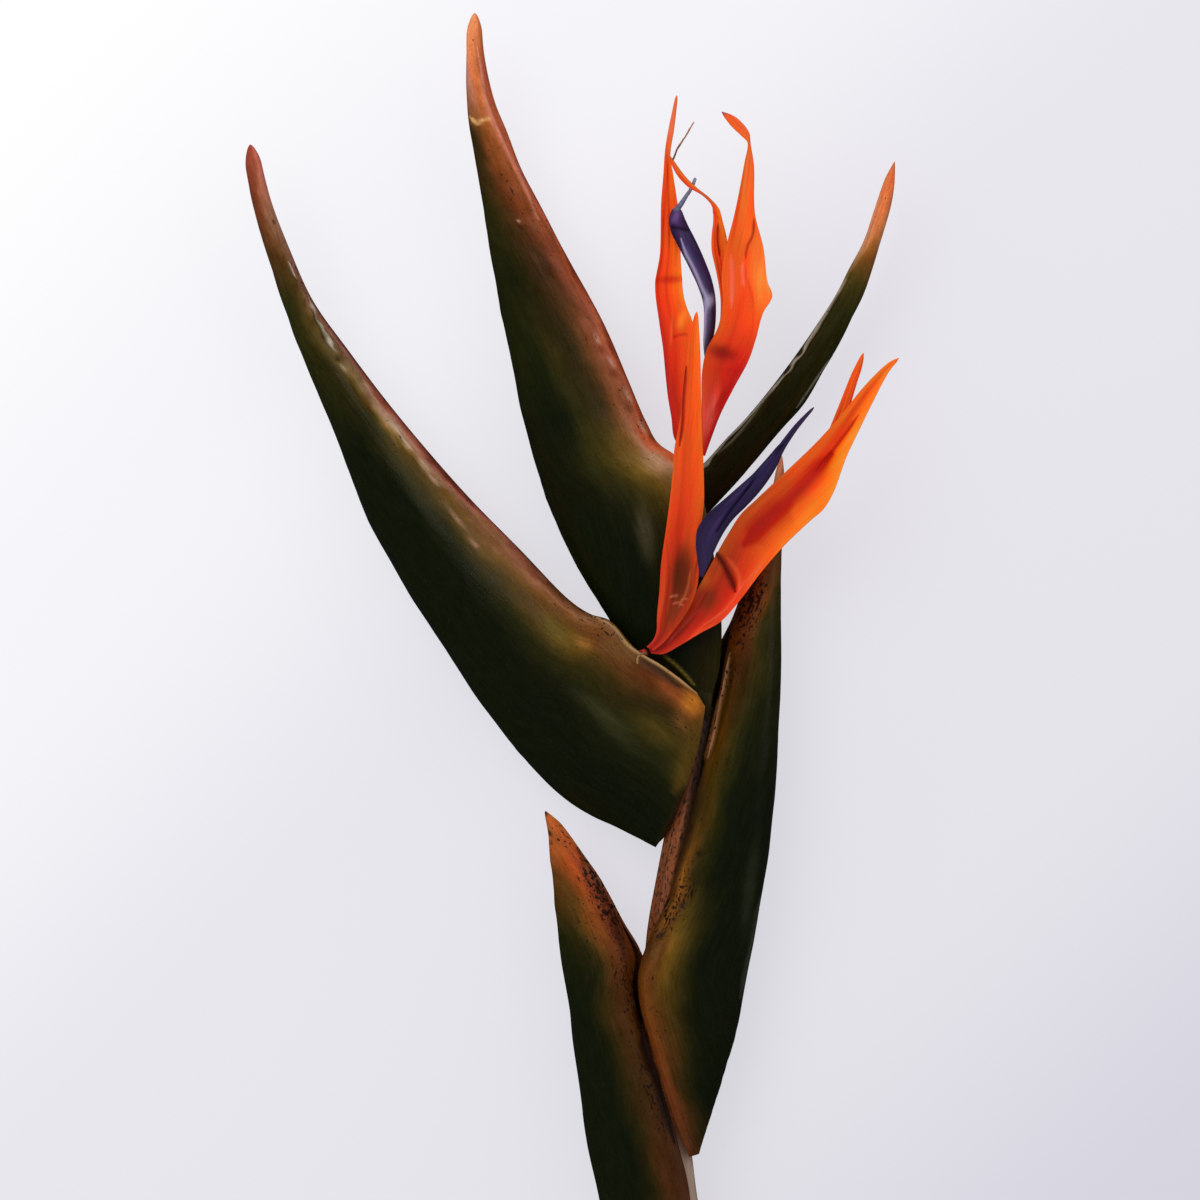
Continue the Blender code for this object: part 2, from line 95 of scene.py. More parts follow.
# The same for a blade, as a share of its red.
SILK_HAZE = np.array((0.0, 0.014, 0.016))
LEAST_SILK_KEPT = 0.3
INSIDE_TINT = np.array((0.020, 0.007, 0.004))
UNDERSIDE_TINT = np.array((0.85, 0.7, 0.7))

# How uneven a bract's skin is: (height, stretch along it, longest and shortest wave, number of waves, and
# the distance in from the rim over which it sets in).
BRACT_UNEVENNESS = [(0.16, 2.5, 22.0, 7.0, 14, 3), (0.035, 8, 3.0, 1.6, 24, 2)]

# Noise in the materials: (length along the strand, width across it, detail, roughness).
BRACT_FIBRE = (16.0, 0.55, 5.0, 0.6)
BRACT_BLOTCH = (5.0, 2.2, 5.0, 0.65)
BRACT_GRAIN = (0.9, 0.5, 3.0, 0.6)
BLADE_VEIN = (34.0, 0.42, 4.0, 0.6)
TONGUE_VEIN = (34.0, 0.5, 4.0, 0.6)
BLADE_CLOUD = (7.0, 2.4, 4.0, 0.6)
BLADE_GRAIN = (0.7, 0.35, 2.0, 0.6)
ROD_BLOTCH = (6.0, 3.0, 5.0, 0.6)
NOISE_RANGE = (0.3, 0.7)  # where most of a noise's values lie
# Specks: (length, width, noise level where they are rarest, and where they are commonest).
BRACT_SPECKS = (1.1, 0.7, 0.72, 0.50)
BRACT_STREAKS = (3.4, 0.9, 0.76, 0.53)
BRACT_FLECKS = (2.3, 1.2, 0.80, 0.62)
ROD_SPECKS = (1.5, 0.9, 0.74, 0.54)
SPECK_EDGE = 0.03

VIEW_CENTRE = (0.007, 0.09325)
VIEW_WIDTH = 0.300
HEAD_HEIGHT = 0.013  # the level at which the view is VIEW_WIDTH wide
LENS = 300.0
SENSOR = 36.0
FLOOR_SIZE = 8.0
FLOOR_HEIGHT = -0.0003
# painted light: most of the floor's brightness is its own glow, which keeps the flower's shadows faint
FLOOR_GLOW = 0.78  # the share of the floor's brightness that comes from below, as on a light table
# painted light: the floor is painted brightest at the upper left and darker towards the lower right
# The floor's colours from the upper left of the view to the lower right: (how far across, colour).
FLOOR_COLOURS = [
    (0.0, (0.99, 0.99, 0.99)),
    (0.28, (0.905, 0.90, 0.935)),
    (0.5, (0.795, 0.787, 0.835)),
    (0.75, (0.775, 0.767, 0.815)),
    (1.0, (0.665, 0.653, 0.73)),
]
# What the world shows to light rays, to reflections and to the camera: (colour, strength).
ROOM = ((0.98, 0.98, 1.0), 0.72)
MIRRORED = ((0.95, 0.97, 1.0), 0.02)
BACKDROP = ((0.88, 0.88, 0.91), 1.0)
SUN_TOWARDS = (-0.45, 0.46, 0.77)
SUN_STRENGTH = 1.25
SUN_SPREAD = 40.0
# Soft boxes: (name, place, size, radiance, whether it shows in gloss).
SOFT_BOXES = [
    ("left_box", (-1.05, 0.35, 0.25), 0.6, 1.2, False),
    ("right_box", (1.0, 0.15, 0.12), 0.3, 0.6, True),
    ("glint_box", (0.62, 0.80, 0.80), 0.14, 9.0, True),
]

# Colours that recur.
DARK = (6, 8.5, 3.2)
GREEN = (10, 12, 2.5)
BLACK_BROWN = (10, 5, 3)
SCARLET = (620, 25, 8)
FLAME = (900, 115, 12)
AMBER = (920, 220, 25)
STEM_TAN = (360, 250, 180)
STEM_BASE = (270, 200, 100)
STEM_CUT = (620, 560, 400)
STEM_CUT_RIM = (170, 85, 35)
RACHIS = (170, 42, 8)
RACHIS_SHADE = (40, 14, 4)

# The stem's middle line (x, y, z, radius), from the cut end up to the top of the flower stalk.
STEM = [
    (36.5, -240, 6.3, 6.3), (36.5, -222, 6.3, 6.2), (36.4, -205, 6.8, 6.2), (36.2, -180, 7.6, 6.2),
    (35.6, -155, 8.7, 6.2), (34.6, -130, 9.9, 6.1), (33.2, -110, 10.9, 6.1), (30.8, -90, 11.7, 6),
    (27.8, -70, 12.3, 5.9), (25.2, -54, 12.5, 5.7), (23.8, -37, 12.6, 5.2), (22.6, -21, 12.6, 4.7),
    (22, -6, 12.6, 4.3), (22.6, 8, 12.6, 4), (24.4, 21, 12.6, 3.8), (26.6, 33, 12.6, 3.7),
    (29.3, 46, 12.6, 3.6), (31.8, 58, 12.6, 3.5), (33, 67, 12.6, 2.7),
]

LOWER_LEFT_BRACT = {
    "seed": 101,
    "skin": (0.3, 0.14, (14, 4, 2)),
    "keel": [
        (26, -114), (20.8, -106.8), (16, -94.2), (11.8, -81.8), (8.8, -69.2), (6.6, -56.8), (3.5, -40.8),
        (1.5, -25.5), (-0.6, -10), (-3.1, 7.2), (-5.1, 26.2), (-6.2, 36), (-7.6, 40.2),
    ],
    "rim": [
        (35.8, -114.5), (35.2, -101.8), (33.5, -89.2), (31.8, -76), (30.4, -64), (28.9, -52), (26, -40.8),
        (22, -27.5), (18.4, -15), (15.8, -6.5), (15.4, -1), (15.8, 3.8), (12.4, 12.2), (7.5, 23), (2, 31),
        (-2.4, 37), (-5.8, 40.8),
    ],
    "middle": [(0, 11.2), (0.3, 12), (1, 12.6)],
    "half": [(0, 2.5), (0.12, 5.5), (0.3, 8.6), (0.55, 8.2), (0.75, 6.2), (0.9, 3.2), (1, 0.9)],
    "gape": [(0, 5), (0.3, 4.6), (0.55, 3.2), (0.7, 1.6), (0.85, 0.8), (1, 0.3)],
    "wall": [(0, 0.8), (0.7, 0.9), (1, 0.35)],
    "back": [(0, 0), (0.6, 0.1), (0.68, 1.6), (0.74, 1.7), (0.8, 0.6), (0.85, 0), (1, 0)],
    "zones": [
        (0, (0, 240, 70, 18), (3, 130, 35, 6), (7, 40, 18, 2), (12, *DARK)),
        (0.4, (0, 65, 16, 4), (3.5, 55, 16, 3), (5, 67, 18, 3), (7, 45, 18, 1), (9, 19, 13, 1),
         (12, *DARK)),
        (0.55, (0, 22, 6, 2), (1.2, 34, 12, 4), (2.2, 55, 20, 4), (5, 44, 19, 2), (7, 33, 18, 1),
         (9, 20, 14, 1), (12, *DARK)),
        (0.7, (0, 110, 30, 9), (1.2, 70, 18, 3), (3.5, 78, 24, 5), (5, 68, 22, 3), (7, 42, 22, 2),
         (9, 20, 15, 1), (12, *DARK)),
        (0.8, (0, 180, 40, 20), (1.2, 90, 18, 5), (3.5, 140, 28, 6), (5, 210, 50, 9), (7, 165, 50, 4),
         (9, 80, 37, 2), (12, 23, 16, 1), (15, *GREEN)),
        (0.9, (0, 420, 170, 100), (1.2, 240, 36, 6), (3.5, 420, 66, 8), (5, 340, 63, 7), (7, 200, 44, 7),
         (9, 100, 35, 6)),
        (1, (0, 520, 140, 30), (2.2, 500, 110, 30), (3.5, 250, 90, 40)),
    ],
    "crests": [(0.45, 0.9, 2.4, 1.6, 0.3, 0.05, 9)],
    "patches": [
        (-6.7, 40, 1, 0.7, -60, BLACK_BROWN, 0.95, 0),
        (-5.7, 35, 0.9, 0.45, -50, BLACK_BROWN, 0.9, -0.1),
        (-5.2, 32.6, 0.5, 0.4, 0, BLACK_BROWN, 0.8, 0),
        (-1.7, 33.2, 0.3, 0.4, 0, (100, 20, 10), 0.8, 0),
        (16.2, -8, 1.6, 0.8, -60, (200, 160, 120), 0.5, 0),
    ],
    "lines": [
        # painted shade: the dark slit where this bract's rim meets the lower right bract
        ([(15.6, -2), (16.4, -8), (18, -15.4), (19.9, -23), (22.7, -32.6), (25.6, -42)], 1.2, (9, 2, 1),
         0.97, -0.15),
        ([(17.4, -16), (18.6, -20), (20, -24.6)], 1.5, (12, 2, 1), 0.9, -0.1),
        ([(1.5, 31), (4.6, 26.4), (7.4, 21), (9.6, 15.6), (11.6, 9.5), (13, 3)], 0.9, (45, 12, 14), 0.72,
         -0.1),
    ],
    "specks": [
        (7.6, 19, 15, 3.6, -66, 1), (-2, 34, 6, 2.4, -55, 0.6), (14, -4, 14, 4, -72, 0.75),
        (4, 10, 14, 4, -75, 0.5), (20, -30, 16, 3, -72, 0.7),
    ],
}
LOWER_RIGHT_BRACT = {
    "seed": 202,
    "skin": (0.3, 0.16, (14, 4, 2)),
    "keel": [
        (31.8, -45.2), (33.6, -39), (36.8, -29), (39.8, -19.5), (43, -4.8), (46.2, 12.8), (49.1, 30.2),
        (51.2, 49), (52, 68.2), (52.2, 83.2), (52.2, 100), (53, 118.2), (53.2, 129),
    ],
    "rim": [
        (29.4, -45.6), (27.2, -40.5), (24.9, -34.2), (22.8, -27.5), (19.6, -17), (16.9, -7.5), (16.6, 0.2),
        (18.8, 7.6), (22.8, 16.2), (26.2, 26.5), (29.5, 40.2), (32.2, 49.8), (34.6, 60), (36.8, 70),
        (38.5, 80), (40, 87.5), (42.4, 95), (45.2, 103.2), (48.4, 113.2), (51.7, 129.6),
    ],
    "middle": [(0, 12.6), (0.2, 12.2), (0.5, 11.2), (0.8, 12), (1, 13.5)],
    "half": [(0, 1.5), (0.1, 5), (0.3, 8.8), (0.5, 10.2), (0.7, 8), (0.88, 4), (1, 0.9)],
    "gape": [(0, 4.6), (0.2, 3.6), (0.45, 2.8), (0.6, 1.6), (0.8, 0.9), (1, 0.3)],
    "wall": [(0, 0.7), (0.2, 0.9), (0.7, 0.9), (1, 0.35)],
    "back": [(0, 0), (0.52, 0.3), (0.6, 2.2), (0.66, 3), (0.72, 2.4), (0.765, 0.3), (0.8, 0), (1, 0)],
    "zones": [
        (0, (0, 120, 25, 5), (3, 60, 20, 3), (6, 20, 14, 2), (9, *DARK)),
        (0.1, (0, 110, 25, 6), (1.5, 120, 30, 6), (3.5, 45, 19, 1), (7, 19, 13, 1), (9.5, *DARK)),
        (0.2, (0, 110, 28, 9), (2.2, 170, 50, 12), (3.5, 100, 32, 3), (7, 50, 25, 1), (9, 34, 21, 1),
         (12, 8, 9, 1), (15, *DARK)),
        (0.3, (0, 50, 18, 4), (2.2, 120, 42, 10), (3.5, 85, 30, 3), (5, 165, 70, 7), (7, 155, 78, 4),
         (9, 82, 45, 2), (12, 23, 18, 1), (15, *DARK)),
        (0.4, (0, 50, 13, 1), (1.2, 120, 44, 4), (2.2, 230, 85, 7), (3.5, 130, 45, 2), (5, 30, 19, 2),
         (7, 16, 13, 1), (9.5, *DARK)),
        (0.5, (0, 20, 8, 1), (2.2, 34, 17, 1), (5, 51, 28, 1), (7, 21, 18, 1), (9.5, *DARK)),
        (0.6, (0, 130, 45, 10), (1.2, 120, 50, 6), (2.2, 90, 33, 2), (3.5, 58, 24, 1), (5, 38, 26, 2),
         (7, 21, 18, 2), (9.5, *GREEN)),
        (0.7, (0, 60, 21, 5), (2.2, 55, 16, 2), (5, 36, 12, 1), (7, 38, 21, 1), (9, 34, 25, 2),
         (12, 15, 15, 2)),
        (0.8, (0, 130, 20, 3), (3, 150, 24, 3), (5, 180, 34, 4), (7, 130, 40, 4), (9, 30, 24, 2)),
        (0.9, (0, 260, 60, 20), (3, 200, 55, 10), (5, 60, 35, 8)),
        (1, (0, 550, 200, 110), (2, 500, 170, 90)),
    ],
    "crests": [(0.1, 0.5, 3, 1.8, 0.35, 0.08, 8), (0.6, 0.92, 2.2, 1.4, 0.25, 0.06, 7)],
    "patches": [
        (31.7, 30, 1, 0.8, 60, BLACK_BROWN, 0.85, -0.1),
        (29.8, 36.4, 1.2, 0.5, 80, BLACK_BROWN, 0.5, 0),
        (27.6, 17.2, 1, 0.7, 50, (20, 10, 18), 0.9, -0.15),
        (22.2, 9.6, 1.4, 0.8, 50, (20, 10, 18), 0.95, -0.2),
        (20.6, 5.4, 2, 0.8, 60, (120, 60, 30), 0.6, 0),
        # painted highlight: a pale grey streak along the right side of the keel
        (44.5, 22, 11, 1.4, 82, (30, 34, 30), 0.5, 0),
    ],
    "lines": [
        # the lip's pinkish edge with a painted highlight on it, then painted shade under the lip
        ([(39.6, 80), (37.8, 71), (35.7, 61), (33.9, 54)], 0.35, (400, 190, 110), 0.8, 0.25),
        ([(40.6, 80), (38.9, 71), (36.8, 61), (35, 54)], 0.4, (20, 10, 4), 0.8, -0.2),
        # painted shade in the slit between the rachis and this bract's lip
        ([(33, 53), (30.4, 45), (26.6, 31), (22.6, 18)], 1.4, (14, 5, 2), 0.9, -0.2),
        # painted highlight: the pale grey streak continued lower down the keel
        ([(47, 19), (44.6, 6), (42, -6)], 0.8, (50, 55, 55), 0.5, 0),
    ],
    "specks": [
        (26, 18, 14, 4, 60, 0.85), (44.8, 94, 17, 4.2, 76, 1), (33.4, 60, 8, 2.2, 72, 0.8),
        (38.6, 74, 8, 3, 74, 0.8), (27, 36, 14, 2.4, 72, 0.6), (20.6, -6, 12, 2.5, 100, 0.45),
    ],
}
MIDDLE_LEFT_BRACT = {
    "seed": 303,
    "skin": (0.3, 0.15, (30, 10, 6)),
    "keel": [
        (20.9, 31.4), (12, 36), (5, 39.2), (-2, 43.8), (-13, 54.8), (-23.2, 68.2), (-31.2, 80.6),
        (-39.8, 93.2), (-43.9, 100.2), (-51, 113.2), (-59.5, 135.8), (-68, 155.8), (-76.5, 180.8),
        (-80, 193.2), (-82, 206.4),
    ],
    "rim": [
        (33.2, 66.6), (30.6, 70.4), (23.8, 75.8), (16.2, 80.8), (9.5, 88.1), (4.5, 89.8), (-0.6, 93.2),
        (-12.9, 105.8), (-25.1, 118.2), (-36.3, 130.8), (-46.5, 143.2), (-56, 155.8), (-64.8, 168.2),
        (-70.5, 180.8), (-75.2, 193.2), (-78.7, 207.5),
    ],
    "middle": [(0, 12.6), (0.2, 12.5), (0.5, 12.8), (0.75, 14.2), (1, 16.5)],
    "half": [(0, 2), (0.08, 5), (0.2, 9.4), (0.4, 12.2), (0.6, 9.6), (0.8, 5.4), (0.93, 2.4), (1, 1)],
    "gape": [(0, 8.2), (0.14, 8.2), (0.24, 4.4), (0.36, 1.9), (0.6, 1.3), (0.85, 0.8), (1, 0.3)],
    "wall": [(0, 0.7), (0.15, 0.9), (0.7, 0.9), (1, 0.4)],
    "bow": [(0, 2.4), (0.15, 0.6), (0.3, 0), (1, 0)],
    # the pale pinkish band about 1 to 3 mm in from the rim is partly the bract's own colour and partly
    # painted highlight from the glints along its crest
    "zones": [
        (0, (0, 160, 75, 18), (1.5, 80, 20, 3), (3.5, 110, 26, 4), (5, 100, 20, 2), (7, 80, 28, 3),
         (9, 28, 16, 2), (19, 21, 20, 4), (24, *GREEN), (32, *DARK)),
        (0.1, (0, 120, 50, 10), (1.5, 70, 20, 4), (3.5, 100, 24, 4), (7, 80, 28, 4), (10, 30, 18, 2),
         (18, 23, 21, 4), (24, *GREEN), (30, *DARK)),
        (0.2, (0, 80, 30, 12), (1.2, 170, 70, 32), (2.2, 260, 115, 55), (3.5, 170, 60, 18), (5, 120, 38, 7),
         (7, 135, 48, 6), (9, 115, 52, 3), (12, 45, 26, 2), (15, 24, 20, 2), (19, 10, 11, 3), (24, *DARK)),
        (0.3, (0, 100, 30, 20), (0.7, 230, 80, 50), (1.2, 220, 65, 35), (2.2, 420, 170, 100),
         (3.5, 240, 95, 38), (5, 170, 68, 17), (7, 90, 46, 4), (9, 68, 37, 3), (12, 31, 23, 2),
         (15, 13, 14, 3), (19, *DARK)),
        (0.4, (0, 130, 25, 18), (0.7, 380, 100, 70), (1.2, 400, 135, 85), (2.2, 250, 105, 45),
         (3.5, 270, 118, 62), (5, 170, 80, 28), (7, 105, 62, 16), (9, 36, 26, 2), (12, 13, 15, 3),
         (15, *DARK)),
        (0.5, (0, 110, 20, 15), (0.8, 360, 110, 75), (2, 430, 210, 130), (3.5, 280, 150, 54),
         (5, 110, 56, 8), (7, 50, 35, 1), (9, 29, 23, 2), (12, *DARK)),
        (0.6, (0, 100, 20, 15), (0.7, 270, 60, 35), (1.2, 310, 72, 45), (2, 460, 270, 180),
         (3.3, 320, 190, 80), (5, 65, 41, 2), (7, 27, 23, 1), (9, 15, 14, 2), (12, *DARK)),
        (0.7, (0, 80, 20, 16), (0.7, 240, 80, 60), (1.2, 320, 140, 100), (2.2, 170, 90, 42),
         (3.5, 130, 80, 30), (5, 55, 37, 5), (7, 24, 18, 1), (12, 16, 16, 3)),
        (0.8, (0, 190, 75, 50), (1.2, 190, 95, 52), (2.2, 95, 50, 14), (3.5, 50, 32, 4), (5, 40, 26, 3),
         (7, 25, 24, 5)),
        (0.9, (0, 350, 160, 110), (1.2, 280, 120, 65), (2.2, 195, 72, 36), (3.5, 136, 34, 13),
         (5, 100, 32, 16)),
        (0.95, (0, 420, 120, 90), (1.2, 480, 140, 85), (2.6, 270, 70, 30), (4, 170, 30, 22)),
        (1, (0, 480, 100, 75), (1.2, 520, 110, 80), (2.4, 300, 50, 35)),
    ],
    "crests": [(0.16, 0.62, 4.2, 1.6, 0.55, 0.14, 9), (0.58, 0.9, 2.3, 1, 0.6, 0.34, 4)],
    "patches": [
        (29.8, 67.4, 3.4, 2.6, -50, (460, 150, 14), 0.95, 0.3),
        (24.6, 70.6, 4.2, 1.5, -38, (270, 65, 22), 0.8, 0),
        (27.6, 62.6, 3.4, 2, -60, (170, 65, 18), 0.7, -0.5),
        (22, 60.5, 7, 3.2, -35, (80, 55, 6), 0.7, 0.2),
        (2.8, 82.6, 2.4, 1.7, -30, (280, 120, 35), 0.6, 0),
        (12, 80.5, 5, 2, -35, (170, 85, 28), 0.5, 0),
        (-3, 85, 6, 3, -40, (120, 100, 14), 0.5, 0),
        # painted highlight: soft grey-green streaks on the body near the base
        (8.4, 64.4, 8.5, 1.5, -38, (60, 66, 45), 0.42, 0.15),
        (12, 58.6, 7, 0.9, -38, (45, 50, 34), 0.35, 0),
        (-67.8, 178, 1.2, 0.5, -60, (300, 100, 30), 0.7, -0.1),
        # painted glints along the wrinkled crest, with painted shade in the dark patches between them
        (-64.7, 166.2, 1.3, 0.4, -60, (580, 540, 440), 0.8, 0.25),
        (-63.8, 163.4, 0.9, 0.45, -60, (10, 12, 3), 0.85, -0.25),
        (-62.5, 161.2, 1.1, 0.35, -66, (520, 490, 380), 0.8, 0.25),
        (-61.8, 158.9, 0.8, 0.45, -55, (10, 12, 3), 0.85, -0.25),
        (-60.5, 157.2, 1.2, 0.4, -58, (600, 560, 460), 0.8, 0.25),
        (-58.2, 153.2, 1, 0.5, -60, (20, 18, 4), 0.75, -0.2),
        (-57, 151.2, 1.2, 0.35, -52, (360, 300, 180), 0.7, 0.2),
        # more painted glints along the crest, with painted shade in the darker patches between them
        (-44, 136, 1.5, 0.5, -54, (640, 480, 340), 0.75, 0.25),
        (-42.2, 132.9, 1, 0.5, -50, (110, 60, 12), 0.6, -0.2),
        (-40.9, 131.6, 1.1, 0.5, -48, (600, 440, 300), 0.7, 0.2),
        (-36.9, 126.6, 2, 0.7, -52, (560, 380, 260), 0.7, 0.2),
        (-35.4, 123.6, 1.2, 0.5, -50, (130, 60, 20), 0.6, -0.2),
        (-33.8, 122.4, 1.4, 0.6, -46, (540, 340, 240), 0.6, 0.2),
        (-74.3, 187.5, 0.7, 0.35, -70, BLACK_BROWN, 0.9, -0.2),
        (-51, 143, 2.2, 1.5, -50, (90, 35, 8), 0.6, 0),
    ],
    "lines": [
        # painted glints along the crest and inside the rim, with one line of painted shade between glints
        ([(-71, 177.5), (-69, 173.5)], 0.25, (620, 450, 360), 0.8, 0.15),
        ([(-66, 169), (-64.6, 165.4), (-63.3, 162.2), (-61, 158.4), (-59, 154.8)], 0.28, (380, 340, 240),
         0.7, 0.2),
        ([(-64.9, 164.4), (-62.3, 159.4), (-60.5, 156.2)], 0.22, (20, 16, 4), 0.8, -0.25),
        ([(-46.6, 139), (-43, 134.4), (-40, 130.6)], 0.35, (600, 420, 280), 0.7, 0.15),
        ([(-38.2, 128.4), (-36, 125), (-34.4, 122)], 0.3, (580, 360, 250), 0.6, 0.12),
        ([(-33, 119.5), (-28, 112.6), (-23, 105.6)], 0.25, (500, 260, 170), 0.5, 0.1),
        # painted shade in the crevice between this bract's base and the rachis
        ([(33.6, 65), (33.2, 61.6), (30.4, 51.6), (26.2, 40.8), (21.4, 31.6)], 1, (20, 8, 3), 0.95, 0),
        # painted shadow under the front lip
        ([(17.8, 78.3), (21, 76.2), (24.2, 73.8), (27, 71.4)], 0.55, (35, 14, 6), 0.85, -0.35),
        ([(32, 64), (29, 54), (26, 46)], 2.8, (95, 52, 4), 0.7, 0),
        # the front lip's tan edge with a painted highlight on it
        ([(5, 89.4), (10, 86.8), (14, 82), (17.6, 79.4), (21.5, 77.2), (26, 74), (31, 70)], 0.34,
         (460, 280, 130), 0.8, 0.22),
    ],
    "specks": [(6, 88, 12, 4, -40, 0.6), (28, 62, 7, 4, -50, 0.5), (-68, 176, 12, 2, -62, 0.5)],
}
UPPER_LEFT_BRACT = {
    "seed": 404,
    "skin": (0.3, 0.15, (28, 10, 8)),
    "keel": [
        (26.2, 57.6), (23, 66), (17.2, 76.2), (9.5, 88.2), (-1.1, 105.8), (-6.2, 118.2), (-10, 130.8),
        (-13.2, 143.2), (-18.2, 168.2), (-22.4, 193.2), (-24.8, 205.8), (-26.2, 219), (-26.4, 231),
        (-25.9, 239.6),
    ],
    "rim": [
        (34.4, 64.8), (35.4, 70.4), (36.8, 76), (37.4, 84), (37, 93.2), (35.2, 105.8), (32.8, 118.2),
        (29.8, 125.6), (25.2, 129.8), (21.8, 132.2), (18.5, 137.8), (14.2, 147.8), (8, 162.2),
        (-2.2, 180.8), (-7.8, 191.6), (-12.6, 200.8), (-16.3, 210.4), (-19.3, 217.8), (-21.9, 229.5),
        (-22.7, 240),
    ],
    "middle": [(0, 12.6), (0.3, 12.8), (1, 16)],
    "half": [(0, 1.2), (0.1, 3.6), (0.22, 7.6), (0.4, 9.8), (0.6, 8), (0.8, 4.8), (0.94, 2.2), (1, 1)],
    "gape": [(0, 1.5), (0.2, 2), (0.28, 3.3), (0.37, 3.3), (0.46, 1.5), (0.7, 0.9), (1, 0.3)],
    "wall": [(0, 0.6), (0.2, 0.9), (0.7, 0.9), (1, 0.4)],
    "zones": [
        (0, (0, 30, 22, 5), (5, 18, 12, 2), (12, *DARK)),
        (0.15, (0, 18, 16, 5), (5, 14, 12, 2), (12, *DARK)),
        (0.27, (0, 120, 60, 25), (4, 70, 45, 12), (8, 30, 22, 6), (15, 15, 12, 3), (19, *DARK)),
        (0.35, (0, 520, 100, 40), (1.2, 620, 80, 20), (2.2, 560, 160, 60), (3.5, 540, 250, 160),
         (5, 380, 210, 100), (7, 260, 130, 35), (9, 210, 115, 22), (12, 100, 60, 4), (15, 44, 32, 3),
         (19, 26, 22, 4), (24, 9, 10, 2), (29, *DARK)),
        (0.45, (0, 160, 22, 10), (0.8, 420, 70, 25), (1.5, 380, 105, 52), (3.5, 260, 82, 38),
         (5, 210, 68, 28), (7, 90, 34, 7), (9, 38, 21, 2), (12, 30, 22, 4), (15, 25, 23, 4), (19, *DARK)),
        (0.55, (0, 200, 30, 15), (0.9, 380, 95, 45), (2.2, 420, 115, 57), (3.5, 300, 86, 46),
         (5, 200, 55, 24), (7, 110, 41, 15), (9, 42, 21, 4), (12, 26, 17, 2), (15, 34, 23, 3),
         (19, 11, 14, 2)),
        (0.65, (0, 170, 25, 12), (0.7, 380, 70, 30), (1.2, 330, 65, 26), (2.2, 240, 55, 27),
         (3.5, 180, 44, 26), (5, 83, 23, 8), (7, 47, 18, 4), (9, 39, 17, 4), (12, 18, 14, 1), (15, *GREEN)),
        (0.75, (0, 200, 35, 20), (0.7, 460, 100, 50), (1.2, 410, 90, 38), (2.2, 330, 80, 32),
         (3.5, 250, 60, 19), (5, 175, 37, 8), (7, 105, 26, 6), (9, 58, 24, 3), (12, 22, 19, 3)),
        (0.85, (0, 420, 95, 42), (1.2, 420, 80, 28), (2.2, 540, 170, 90), (3.5, 380, 97, 26),
         (5, 280, 75, 18), (7, 100, 36, 9), (8.5, 30, 18, 5)),
        (0.92, (0, 340, 66, 36), (1.2, 430, 80, 33), (2.2, 600, 170, 50), (3.5, 700, 165, 53),
         (5, 480, 180, 120)),
        (1, (0, 430, 90, 34), (1.2, 740, 240, 80), (2.4, 800, 270, 120)),
    ],
    "crests": [(0.45, 0.82, 3.6, 2, 0.4, 0.22, 9), (0.78, 0.97, 2.6, 0.9, 0.4, 0.08, 7)],
    "patches": [
        # painted highlight on a small bump, with painted shade just below it
        (-13.2, 187.6, 0.5, 0.35, -40, (420, 220, 150), 0.9, 0.25),
        (-12.6, 186, 0.6, 0.4, -40, (35, 10, 6), 0.8, -0.2),
        # painted glints on the dents along the right rim, with painted shade in the dark red patches between
        (6.2, 158.4, 1.5, 0.5, -60, (600, 300, 220), 0.8, -0.35),
        (7.4, 155.6, 1.4, 0.8, -60, (160, 25, 12), 0.7, -0.2),
        (9.8, 152.6, 1.6, 0.5, -58, (600, 320, 250), 0.75, -0.4),
        (10.6, 149.6, 1.5, 0.9, -60, (150, 25, 12), 0.7, -0.3),
        (13.9, 144.4, 2.2, 0.6, -62, (500, 260, 180), 0.75, -0.5),
        (14.4, 141, 1.6, 1, -60, (130, 30, 12), 0.6, -0.3),
        (17.6, 136.6, 2.2, 0.6, -62, (520, 300, 190), 0.7, -0.4),
        (20.4, 134, 1.5, 0.8, -50, (120, 35, 12), 0.6, -0.2),
        (20.6, 128, 3.6, 2.2, -60, (460, 270, 150), 0.7, -0.2),
        # painted highlight: a soft grey streak
        (18.4, 110, 7, 2, -80, (90, 78, 55), 0.5, 0),
        (-9, 178, 5, 0.5, -62, (120, 50, 30), 0.3, 0),
    ],
    "lines": [
        ([(22.4, 79.8), (25, 77.8), (28, 74.9), (31, 71.4)], 0.32, (200, 140, 30), 0.85, 0.45),
        # painted shade next to the line of the middle left bract's lip
        ([(21.6, 78.6), (24.6, 76.2), (28.6, 72.4)], 0.8, (15, 6, 1), 0.7, -0.2),
        ([(-25.3, 213.8), (-23.7, 212.3), (-22, 213), (-19.7, 213.7)], 0.42, (660, 360, 140), 0.9, 0.15),
        # painted highlight along the ridge near the tip
        ([(-23.7, 231.7), (-22.6, 225), (-21.2, 216.8), (-19.5, 212.2), (-16.6, 206), (-14.3, 201.6),
         (-11, 194), (-8.6, 188)], 0.42, (620, 230, 160), 0.65, 0.3),
    ],
    "specks": [(-12, 190, 22, 4, -62, 0.45), (16, 138, 16, 5, -60, 0.35), (24, 92, 10, 6, -70, 0.3)],
}
